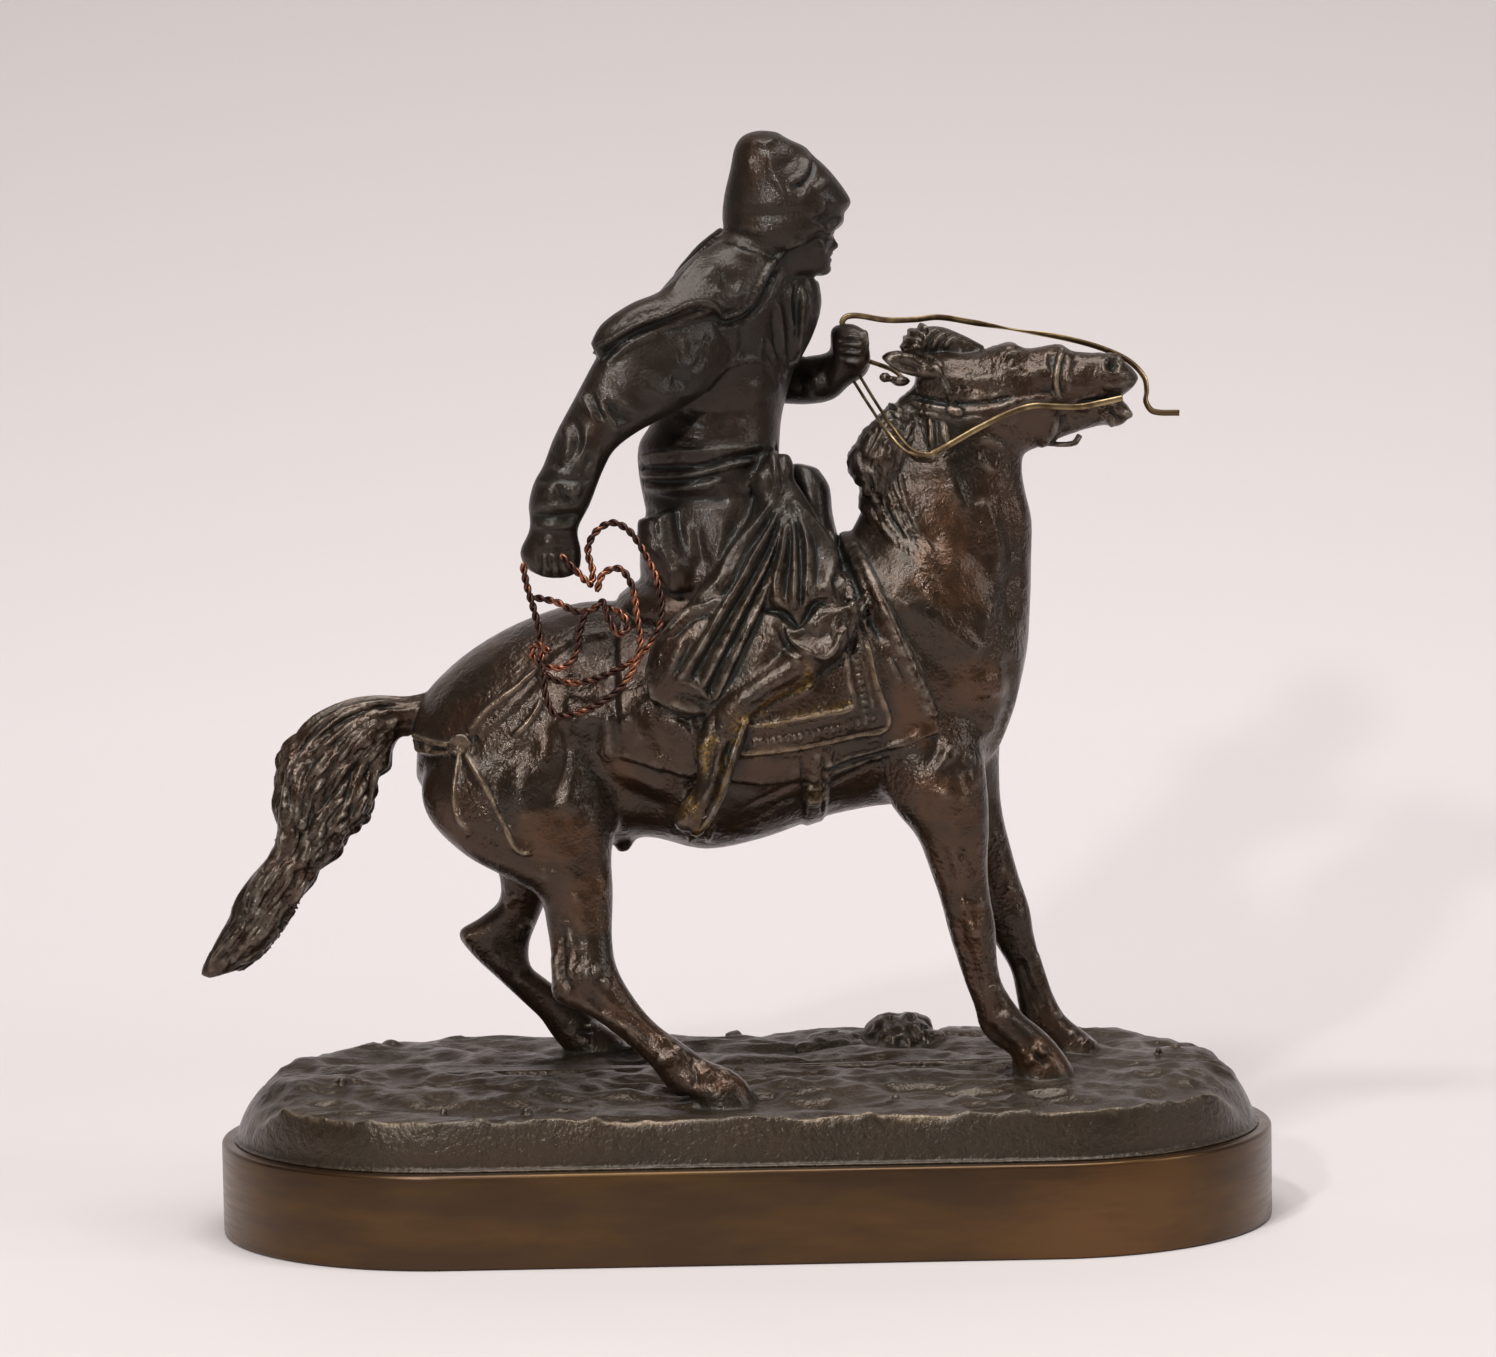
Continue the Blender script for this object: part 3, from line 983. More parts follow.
NEAR_LEG_STROKES = [
    # Hind leg: the tendon behind the hock, the hock's lumps, then cannon, fetlock and pastern
    (-0.6, 0.9, 0.9, [(-37.8, 64), (-38, 58), (-37.4, 52), (-36, 49)]),
    (0.5, 0.8, 0.8, [(-39.6, 57), (-39.4, 53), (-39.2, 50)]),
    (0.5, 0.9, 0.9, [(-36.6, 55), (-36.7, 51)]),
    (-0.5, 1.0, 1.0, [(-38, 66), (-35.4, 61.4), (-33.6, 58)]),
    (-0.35, 0.8, 0.8, [(-34.2, 58), (-33.8, 54)]),
    (0.5, 0.8, 0.8, [(-33.4, 53.6), (-32.6, 51)]),
    (0.5, 0.6, 0.6, [(-31.6, 52), (-30.8, 54)]),
    (0.5, 0.7, 0.7, [(-29.4, 51.6), (-28.4, 49.4)]),
    (0.4, 0.7, 0.7, [(-35.4, 69.6), (-34.8, 67.6)]),
    (0.4, 0.7, 0.7, [(-29.6, 68.8), (-29.2, 70)]),
    (-0.6, 1.1, 1.1, [(-33, 48.6), (-28, 43.6), (-24, 42), (-19.6, 37)]),
    (0.5, 0.9, 0.9, [(-30, 44.4), (-25, 41.4), (-20.4, 36.4)]),
    (0.7, 1.1, 1.1, [(-18.6, 34.8), (-16.4, 33.8), (-14.6, 35)]),
    (0.45, 0.55, 0.55, [(-17.6, 38.8), (-15.4, 37.4)]),
    (0.45, 0.55, 0.55, [(-15, 37), (-12.4, 35)]),
    (-0.6, 0.7, 0.7, [(-12, 33.8), (-10.6, 31), (-10.6, 28)]),
    (0.7, 0.7, 0.7, [(-8.8, 29.4), (-6.6, 31)]),
    (0.6, 0.6, 0.6, [(-5.8, 31.6), (-3.8, 30)]),
    (0.4, 0.6, 0.6, [(-9.6, 33.6), (-7.8, 32.4)]),
    # Foreleg: forearm grooves, knee, fetlock and the rough coronet
    (-0.35, 0.9, 0.9, [(42, 78), (43.2, 74), (43.6, 70)]),
    (-0.35, 0.8, 0.8, [(45, 77.6), (47.4, 75), (48.4, 71.6)]),
    (0.5, 0.8, 0.8, [(46, 66.8), (46.8, 63.8)]),
    (0.4, 0.7, 0.7, [(49.8, 67), (49.4, 64.6)]),
    (-0.5, 1.1, 1.1, [(45.4, 63), (45.8, 58), (48, 53), (49.6, 47)]),
    (0.5, 1.1, 1.1, [(48, 62), (48.6, 58)]),
    (0.4, 0.6, 0.6, [(52.4, 48.6), (52.8, 47)]),
    (0.4, 0.7, 0.7, [(54.6, 43.2), (55.2, 41)]),
    (-0.5, 0.9, 0.9, [(51, 40), (54, 36.4), (57, 35)]),
    (0.8, 0.8, 0.8, [(58.8, 31.6), (60.8, 33)]),
    (0.8, 0.7, 0.7, [(61.2, 34.8), (63, 33.2)]),
    (0.6, 0.6, 0.6, [(61.4, 36), (62.8, 35)]),
    (-0.6, 0.6, 0.6, [(60.2, 34), (63.6, 31)]),
    (0.4, 0.6, 0.6, [(57.6, 34.6), (58.8, 33.6)]),
]

# The far legs, where they show past the near ones
FAR_LEG_STROKES = [
    (0.5, 0.7, 0.7, [(-58.4, 61), (-57.2, 60.4)]),
    (0.5, 0.8, 0.8, [(-47.6, 69.8), (-49.4, 67)]),
    (0.4, 0.6, 0.6, [(-46, 63.4), (-47.6, 60)]),
    (0.4, 0.6, 0.6, [(-45.2, 64), (-44.6, 62)]),
    (-0.5, 1.2, 1.2, [(-52, 60), (-49, 56), (-45, 52)]),
    (0.5, 0.7, 0.7, [(-33, 41.8), (-31, 41.2)]),
    (-0.5, 0.8, 0.8, [(-35, 40.6), (-32, 39.6)]),
    (0.4, 0.7, 0.7, [(-27.6, 38), (-26.6, 37.2)]),
    (0.4, 0.6, 0.6, [(53.2, 79.6), (54.2, 74), (54.8, 72)]),
    (0.5, 0.7, 0.7, [(55, 68.6), (57, 68.6)]),
    (0.4, 0.6, 0.6, [(60.8, 56), (62.6, 50), (63.8, 46)]),
    (-0.4, 0.8, 0.8, [(58, 54), (60, 48), (62.6, 43)]),
    (0.5, 0.6, 0.6, [(65, 42.6), (65.8, 41)]),
    (0.5, 0.6, 0.6, [(68, 38.4), (69, 37.6)]),
    (0.7, 0.8, 0.8, [(71, 36.6), (73, 35)]),
]

PONY_HEAD_STROKES = [
    # Cheek, jaw and the bones of the face
    (-0.6, 1.5, 1.5, [(44, 178), (48, 177.4), (52, 177.4), (54.6, 178.8)]),
    (0.55, 1.0, 1.6, [(51, 181.4), (55, 181.6), (59, 181.4), (61, 180.2)]),
    (0.7, 1.5, 2.4, [(61, 177.4), (65, 176), (69, 174.6), (73, 173.8)]),
    (-0.6, 1.6, 1.6, [(62, 173.4), (66, 172.6), (70, 172.4)]),
    (-0.5, 1.2, 1.2, [(64, 179.6), (68, 178.6), (72, 177.6)]),
    (0.7, 2.2, 1.4, [(64, 169), (66.2, 166.6), (66, 163.6), (63.6, 161)]),
    (-0.7, 1.2, 1.2, [(67.6, 168), (68.4, 165), (67.6, 162)]),
    (0.6, 2.8, 2.8, [(55, 170), (58, 166)]),
    (-0.5, 1.4, 1.4, [(46, 175), (50, 173.6), (55, 173.8)]),
    (0.4, 1.2, 1.2, [(48, 176), (53, 175.6)]),
    # Nose, mouth and chin
    (0.6, 1.5, 1.0, [(74.5, 179.2), (78.5, 179.6), (81.4, 178.2)]),
    (0.45, 0.8, 0.5, [(76.4, 173.6), (80, 174), (83, 175.4)]),
    (0.4, 0.8, 0.8, [(75.6, 176), (77, 174.4)]),
]

PONY_FINE_STROKES = [
    # Eye with its lids
    (-0.9, 1.9, 1.9, [(57.8, 179)]),
    (0.75, 0.85, 0.85, [(58, 179)]),
    (0.5, 0.4, 0.6, [(55.6, 179.2), (56.8, 180.6), (58.6, 180.9), (60.4, 179.6)]),
    (0.4, 0.5, 0.4, [(56, 178.2), (57.6, 177.3), (59.6, 177.8)]),
    (-0.3, 0.4, 0.4, [(55.4, 181.6), (57.6, 182), (60, 181.4)]),
    # Nostril
    (-1.0, 0.8, 0.8, [(78.4, 178.2), (79, 177.2)]),
    (0.5, 0.5, 0.6, [(76.8, 178.2), (77.6, 179.6), (79.4, 179.6), (80.4, 178.2)]),
    (0.35, 0.5, 0.5, [(77.4, 176.6), (79, 175.9), (80.4, 176.8)]),
    (-0.9, 0.5, 0.5, [(81, 171), (78, 170.7), (74, 170.4), (70.6, 169.8)]),
    (0.5, 0.5, 0.5, [(76.6, 179), (76.6, 177.2), (77.4, 176.2), (79.6, 175.9), (82.2, 176)]),
    (-0.9, 0.6, 0.6, [(77.8, 178.4), (79, 177.8), (79.6, 178.4)]),
    (-0.8, 0.5, 0.5, [(77.4, 169.4), (78.8, 167.6), (80.6, 165.6)]),
    (0.7, 0.8, 0.8, [(80.8, 168.2), (82, 167.2)]),
    (0.6, 0.45, 0.6, [(62.4, 160.8), (64.8, 162.6), (66.4, 165.4), (67, 168.4)]),
    (-0.5, 0.6, 0.6, [(66, 161.6), (67.8, 165), (68, 168)]),
    # Ear: its open hollow and rim
    (-1.1, 1.3, 1.3, [(33.4, 179.6), (35.8, 178.8), (39.4, 177.2)]),
    (0.5, 0.5, 0.5, [(37.4, 181.2), (40, 180.3), (42.4, 179), (43.4, 177.2)]),
    # Forelock's ribs and curls
    (0.9, 0.45, 0.45, [(35.2, 182.2), (37.4, 182.6), (38.8, 182.2)]),
    (0.9, 0.45, 0.45, [(35.6, 183.6), (37.6, 183.9), (39.4, 183.2)]),
    (0.9, 0.45, 0.45, [(36.4, 185), (38.6, 185), (40.2, 184.2)]),
    (0.9, 0.45, 0.45, [(38.4, 186.2), (40, 185.8), (41.4, 184.6)]),
    (0.9, 0.5, 0.5, [(38.8, 181.6), (40.4, 184.4), (43, 185.8)]),
    (0.9, 0.5, 0.5, [(41, 181.8), (42.4, 184), (44.8, 184.8)]),
    (0.9, 0.5, 0.5, [(43.6, 181.8), (44.8, 183.6), (46.6, 183.6)]),
    # Bridle
    (0.6, 0.6, 0.6, [(36, 171), (40, 170), (46, 169), (50, 169), (55, 169.8), (60, 171), (66, 171.6),
        (69, 171.8)]),
    (-0.6, 0.5, 0.5, [(37, 172.4), (42, 171), (46, 170.4), (52, 170.6), (58, 171.8)]),
    (0.5, 0.5, 0.5, [(36, 169.3), (40, 168.3), (44, 167.5), (48, 167.2), (53, 168)]),
    (0.7, 0.8, 0.8, [(45.4, 168.8), (47, 168.6)]),
    (0.5, 0.55, 0.55, [(41, 180), (43, 176), (44.6, 172), (45, 169)]),
    (0.55, 0.5, 0.5, [(68.4, 181.6), (67.2, 178), (66.6, 174.4), (67.4, 171.2)]),
    (0.4, 0.5, 0.5, [(65, 181), (64.4, 178.6), (65.2, 176)]),
    (0.5, 0.5, 0.5, [(69.6, 180.2), (69, 176), (69.4, 172)]),
    (0.7, 0.9, 0.9, [(74.4, 169)]),
    (0.7, 0.7, 0.7, [(76.4, 167)]),
    (0.6, 0.6, 0.6, [(78.2, 165.8)]),
    # Mane: stacked locks at the poll and streaks behind the neck
    (0.9, 0.5, 0.5, [(31, 169.6), (33, 170), (35, 168.6)]),
    (0.9, 0.5, 0.5, [(30.4, 168), (33, 168.6), (35, 167)]),
    (0.9, 0.5, 0.5, [(31.2, 166.4), (33.2, 166.9), (35, 165.4)]),
    (0.9, 0.5, 0.5, [(31.6, 164.8), (33.4, 165.2), (35, 163.8)]),
    (0.9, 0.5, 0.5, [(32, 163), (33.6, 163.4), (35, 162)]),
    (0.8, 0.5, 0.5, [(25.6, 156), (27.4, 154.6), (26.8, 152.6), (28.4, 151)]),
    (0.8, 0.5, 0.5, [(28, 156.4), (29, 154), (28.6, 151.4), (30, 149.4)]),
    (-0.8, 0.6, 0.6, [(26.6, 156.6), (28.2, 153.6), (27.6, 150.6)]),
    (0.6, 0.45, 0.6, [(29.6, 150), (31.4, 147), (33.6, 144), (35.6, 140.4)]),
    (0.6, 0.45, 0.6, [(31.4, 150.4), (33, 147.4), (35, 144), (36.8, 141)]),
    (0.5, 0.45, 0.6, [(34, 155), (35, 151), (36.4, 147.4), (38.4, 144)]),
    (-0.6, 0.6, 0.6, [(30.6, 149.4), (32.6, 146), (35, 142)]),
    # Throat tassel and rings
    (0.6, 0.6, 0.6, [(50.6, 163.4), (53, 162.6), (55.8, 161.4)]),
    (0.45, 0.4, 0.4, [(51, 161), (51.4, 158), (53.4, 156.4), (54.6, 158), (54.2, 160.4)]),
    (0.35, 0.35, 0.35, [(40.4, 168), (40.6, 161.5)]),
    (0.35, 0.35, 0.35, [(42.6, 167), (42.8, 162)]),
]

# Cords, straps and rods that lie on the pony: (half thickness, width over thickness, line in the view)
PONY_CORDS = [
    # Croup strap, the ribbed strap under it, the rolled hem of the croup cloth and the hanging cords
    (0.5, 1.1, [(-56.4, 104.4), (-52.8, 108.4), (-48.7, 111.5), (-46.3, 113.1), (-44.5, 114.8),
        (-42.2, 116.4)]),
    (0.5, 2.2, [(-54.8, 103.2), (-51.4, 105.8), (-47.8, 109), (-44.4, 112.2), (-42, 114.6)]),
    (0.4, 1.5, [(-47.2, 102.8), (-44.4, 105.4), (-42.6, 107.8), (-41.2, 110.2)]),
    (0.6, 1.0, [(-71.2, 103.7), (-68, 103.1), (-64, 101.8), (-60.8, 101.3)]),
    (0.6, 1.0, [(-70.2, 101.7), (-68, 100.5), (-64.6, 99.7), (-60.4, 99.7)]),
    (0.4, 1.0, [(-58.8, 99.2), (-59.2, 96), (-59.9, 92), (-59.8, 88), (-58.8, 85), (-57.4, 83.6),
        (-57, 82.2)]),
    (0.4, 1.0, [(-57.4, 99.2), (-54, 93.4), (-50.6, 86.4), (-47.6, 79.6), (-45.6, 78), (-44, 78.2)]),
    # Saddle cloth's borders
    (0.36, 1.0, [(1, 103.9), (8, 104.6), (16, 106), (23.6, 107.8), (22.8, 113), (21.8, 120)]),
    (0.36, 1.0, [(0, 98.2), (8, 98.6), (16, 99.8), (24, 101.5), (31, 103.5), (28.6, 112.6), (26.6, 122)]),
    # Bridle: noseband, headstall, throat lash, and the bar of the curb under the jaw
    (0.4, 1.6, [(68, 181.6), (67.2, 178.6), (66.7, 175), (67.2, 171.8)]),
    (0.4, 2.2, [(36.6, 170.5), (39, 169.3), (42.6, 168.8), (46, 168.6)]),
    (0.4, 1.4, [(40.4, 167.4), (40.8, 164.6), (40.6, 161.6)]),
    (0.4, 1.4, [(43.6, 166.4), (43.6, 164), (44.2, 161.6)]),
    # Girth's buckle
    (0.35, 1.2, [(13.8, 91), (16.8, 91.2), (16.8, 88), (13.8, 87.8), (13.8, 91)]),
]
PONY_DISCS = [(2.1, (-58.3, 101.1)), (0.9, (-65.2, 100.6)), (0.8, (78.2, 170)), (1.0, (45.6, 169))]
CURB_BAR = [(63.6, -3, 161.9), (70.2, -3, 161.8), (71.6, -2.4, 163.6)]
PONY_TACK_STROKES = [
    (-0.8, 0.9, 0.9, [(-59, 100.2), (-57.8, 102.2)]),
    (0.5, 0.4, 0.4, [(-58.8, 99.8), (-57.6, 102.2)]),
    # Saddle cloth: borders, beads and dashes
    (0.3, 0.35, 0.35, [(2, 102.9), (9, 103.6), (17, 105), (24, 106.8)]),
    (0.35, 0.35, 0.35, [(25.6, 120.6), (26.6, 114), (28, 106)]),
    # Blanket: the long fold in front, the hem, and the girth with its buckle
    (1.2, 1.0, 1.5, [(24.4, 142), (26.6, 136.5), (29, 131), (32, 124.4), (35, 117.6), (38, 110.6),
        (40.6, 104.6)]),
    (-0.8, 1.1, 1.1, [(21.6, 139), (24.2, 133), (27, 127), (29.8, 121)]),
    (0.5, 0.5, 0.5, [(31, 118), (33.8, 112.6)]),
    (0.5, 0.7, 0.7, [(22, 136), (23.6, 131), (24.6, 127)]),
    (-0.6, 0.45, 0.45, [(17, 93.6), (22, 95.6), (28, 97.2), (34, 98.6), (41, 101.4)]),
    (-0.4, 0.4, 0.4, [(17.4, 91), (21, 92.6), (25, 94.8), (28.4, 96.6)]),
    (0.5, 0.5, 0.5, [(17, 95), (22, 97), (28, 98.6), (34, 100)]),
    (-0.35, 0.5, 0.5, [(1.6, 87.6), (6, 89.4), (12.4, 92.4)]),
    (-0.35, 0.5, 0.5, [(-3.6, 82.8), (2, 84), (8, 87.6), (12.4, 89)]),
    (-0.5, 0.4, 0.4, [(12.6, 98), (13, 92), (13.2, 85)]),
    (-0.5, 0.4, 0.4, [(17.2, 98.6), (17.2, 92), (16.8, 85)]),
    (0.5, 0.5, 0.5, [(13.8, 90.6), (17, 91)]),
    (0.5, 0.5, 0.5, [(13.8, 88), (16.8, 88.2)]),
    (0.5, 0.5, 0.5, [(15.4, 92), (15.4, 87)]),
    (0.5, 0.5, 0.5, [(-9.6, 83.4), (-11.4, 79.6)]),
    (0.5, 0.5, 0.5, [(-5.6, 84), (-7.4, 79.8)]),
    (0.4, 0.6, 0.6, [(26.4, 101), (29.6, 102)]),
    (0.5, 1.2, 1.2, [(26.4, 100.4), (29.4, 101.6)]),
]
SADDLE_CLOTH_BEADS = (
    dashes(0.5, 0.36, 1.35, [(24.6, 118.6), (25.4, 113), (26.4, 105.6)], (1.4, 0.3))
    + dashes(0.5, 0.36, 1.35, [(3, 100.6), (10, 101.2), (18, 102.8), (26, 104.6)], (0.1, 1.5))
    + beads(0.5, 0.5, 1.5, [(23, 104.6), (28, 105.4)])
)

# Rider: folds as strokes in the near view

CAP_STROKES = [
    # The crown's broken edge, the tuck with its leaf-shaped lip, and the rolls round the brow
    (0.6, 1.1, 0.5, [(3.4, 224.2), (5.6, 225), (7, 224.4), (8.4, 225), (9.8, 225.4)]),
    (0.6, 0.6, 0.6, [(3.4, 221.6), (4.2, 220.4), (4.4, 218.8)]),
    (0.45, 0.5, 0.8, [(8.4, 223), (8.4, 220), (9.6, 217.4), (10.8, 215), (12, 213.6)]),
    (0.7, 0.45, 1.0, [(15.6, 222.6), (16.1, 221), (15.8, 219.4), (14.8, 217.8), (13.4, 217), (12, 217.2)]),
    (-0.7, 0.45, 0.45, [(16.9, 222), (17, 219.6), (15.9, 217.4), (14, 216.1), (12.4, 215.8)]),
    (-0.3, 1.6, 1.6, [(11.4, 221.4), (12.4, 220)]),
    (0.5, 0.5, 0.5, [(11.8, 216.6), (12.4, 214.6), (13.6, 213.5), (15, 214), (15.9, 215.6), (16, 216.8)]),
    (0.6, 0.6, 0.8, [(19.8, 217.6), (18.4, 215.6), (16.8, 214.6)]),
    (0.6, 0.45, 1.0, [(19.2, 213), (19.1, 211.8), (18, 210.3), (16, 209.8)]),
    (-0.55, 0.45, 0.45, [(20, 212.8), (19.8, 210.8), (18.6, 209.4), (16.8, 208.9)]),
    (0.6, 0.45, 0.45, [(17.6, 208.2), (18.8, 207), (20.2, 206.8), (21.4, 208), (22.8, 208.9)]),
    (-0.5, 0.45, 0.45, [(18.8, 208.6), (20.2, 208.4), (21.4, 209.6)]),
    (-0.35, 0.9, 0.9, [(2, 210.6), (6, 210), (12, 210.4), (15, 211)]),
    (0.3, 1.2, 1.2, [(-1.4, 213.6), (4, 212.6), (10, 212.8)]),
    (0.4, 0.5, 0.8, [(0.4, 208.4), (4, 207.2), (8, 206.8)]),
    (0.5, 1.2, 0.8, [(-0.4, 204.6), (1.4, 202.6), (4.6, 201.6), (8.4, 202.2)]),
]

HOOD_STROKES = [
    # The studded rim, the shadow it throws on the coat, and the second roll below it on the shoulder
    (1.0, 0.5, 0.55, [
        (15.6, 204.8), (13.2, 204.3), (11, 203.1), (9.4, 201.3), (7.8, 199.5), (6.4, 197.5), (5.4, 195.5),
        (4.4, 193.7), (3, 191.7), (1.4, 190.3), (-0.6, 189.4), (-2.4, 189.5), (-3.3, 190.8), (-4.6, 191.9),
        (-6.6, 192.3), (-9.6, 191.7), (-12, 190.5), (-16, 189.2), (-20, 187.9), (-24.4, 185.6), (-29, 183)]),
    (-1.1, 0.7, 0.7, [
        (9.3, 199.6), (7.9, 197.3), (6.8, 194.9), (5.6, 192.6), (4, 190.5), (1.8, 188.9), (-0.8, 188),
        (-3.4, 188.4)]),
    (-1.1, 0.8, 0.8, [(-4.6, 190.2), (-7, 190.8), (-10, 189.9), (-16, 187.7), (-20, 186.3), (-24, 183.8),
        (-27.6, 181)]),
    (0.7, 0.6, 0.6, [(-10, 188.3), (-15, 187), (-19, 185.4), (-22.4, 183.4), (-25.4, 180.8), (-27, 178.8)]),
    (-0.8, 1.8, 1.8, [(-2.6, 197.2), (1.6, 196)]),
    (0.5, 1.4, 1.4, [(-6, 197.6), (-3, 199.8)]),
    (0.4, 0.9, 0.9, [(-4, 194.6), (-1, 193.8), (1.6, 193.6)]),
    (0.5, 0.45, 0.6, [(-2.2, 206.6), (-5.4, 203.6), (-8, 200.4), (-9.8, 198.4), (-12.4, 195)]),
    (0.4, 1.6, 1.2, [(-14, 193.4), (-19, 191.4), (-24, 188.6)]),
]
HOOD_STUDS = (
    beads(0.35, 0.34, 1.1, [(13, 204.9), (9.2, 201), (7, 197.6), (4.4, 193.4), (1.2, 190.2), (-1.6, 189.2)])
    + beads(0.35, 0.36, 1.2, [(-4.6, 191.6), (-9, 192), (-14, 190), (-20, 188), (-27.6, 183.8)])
    + beads(0.3, 0.36, 1.3, [(-17, 186), (-21, 184), (-25, 180.6)])
)

COAT_STROKES = [
    # Breast and side
    (0.6, 0.5, 0.5, [(12.6, 195.8), (11.6, 193.4), (11.9, 189), (12.6, 185)]),
    (0.8, 0.7, 0.5, [(14, 195.4), (14.6, 192.6), (14.2, 188.6), (13.8, 184.6), (13.2, 181)]),
    (-0.7, 0.5, 0.5, [(13, 192.6), (13.1, 188), (13.1, 184)]),
    (0.6, 0.5, 0.5, [(9.3, 192), (9.9, 187), (10.2, 182), (10.7, 176.6)]),
    (-0.6, 0.6, 0.6, [(8.2, 190), (8.7, 185), (8.9, 181)]),
    (0.5, 0.45, 0.45, [(16.2, 192.6), (15.6, 189), (14.7, 185.8)]),
    (0.6, 0.5, 0.5, [(6.4, 185), (7.8, 182.4), (8.6, 178.6), (9.6, 175.8)]),
    (0.5, 0.45, 0.45, [(6.2, 185), (5.2, 182), (6, 179)]),
    (0.5, 0.9, 0.5, [(-4.4, 176.8), (-1, 179), (3, 180.2), (7, 179.4), (8.6, 176.6), (9.2, 173.6)]),
    (-0.5, 0.7, 0.7, [(1, 188.4), (2, 184.4), (0.8, 180.6)]),
    (-0.5, 0.6, 0.6, [(-5, 186), (-6.2, 183), (-7.2, 180), (-9, 178)]),
    (-1.0, 1.6, 1.6, [(-13, 177), (-9, 175.6)]),
    (0.5, 2.4, 2.4, [(4, 176), (5, 171)]),
    (-0.4, 1.4, 1.4, [(-12, 172), (-5, 169.6), (2, 170)]),
    (0.35, 1.0, 1.0, [(-13, 168), (-6, 166.4), (2, 167)]),
    (-0.3, 0.8, 0.8, [(-14, 165.4), (-6, 164.2), (3, 164.8)]),
    # Sash
    (0.7, 0.6, 0.9, [(-20.4, 160.6), (-15, 161.6), (-8, 161.6), (0, 161.9), (6.4, 162.8)]),
    (-0.9, 0.6, 0.6, [(-20.6, 158.4), (-14, 158.2), (-8, 158.4), (-2, 159.6), (5, 160.8)]),
    (0.7, 0.7, 0.7, [(-20, 156.9), (-15, 156.5), (-9, 156.7), (-3, 157.9), (4, 159.6)]),
    (-0.8, 0.5, 0.5, [(-20, 155.8), (-15, 155.3), (-9, 155.5), (-3, 156.6)]),
    (0.6, 0.7, 0.7, [(-19.6, 154.4), (-14, 153.8), (-8, 154.2), (-2, 155)]),
    (-0.8, 0.9, 1.4, [(-19, 152.4), (-12, 151.6), (-5, 151.6), (-1.4, 151)]),
    (0.5, 0.6, 0.6, [(-14, 160), (-10, 160)]),
    (0.5, 0.6, 0.6, [(-6, 160.4), (-3, 160.6)]),
    # The tucked sash end and the knot
    (1.3, 2.0, 2.0, [(1.4, 152.6), (4, 154.6), (7, 156.6)]),
    (0.5, 0.5, 0.5, [(0.4, 153.6), (2, 155.8), (5, 157.6), (8, 158)]),
    (0.8, 0.7, 0.7, [(7, 162.6), (8, 159), (8.4, 155), (9, 152)]),
    (-0.6, 0.5, 0.5, [(8.4, 163), (9.4, 159), (9.6, 155.6)]),
    # Coat below the sash
    (0.5, 1.0, 1.0, [(-10.6, 147), (-10, 143), (-9.4, 138)]),
    (-0.5, 1.0, 1.0, [(-8, 146), (-7.8, 142), (-6.6, 137)]),
    (0.45, 0.5, 0.5, [(-14.2, 141), (-12.6, 139.4), (-13, 137), (-14.8, 137)]),
    (-0.6, 0.8, 0.8, [(-17.6, 150), (-16.8, 144), (-15.4, 138.4), (-14.6, 133)]),
    (0.5, 0.5, 0.5, [(-18.2, 147), (-16.6, 142.8), (-14.2, 138.6)]),
    (0.4, 0.8, 0.8, [(-3, 148), (-3.4, 143), (-5, 138)]),
    (-0.5, 1.2, 1.2, [(0, 147), (-1, 143)]),
]

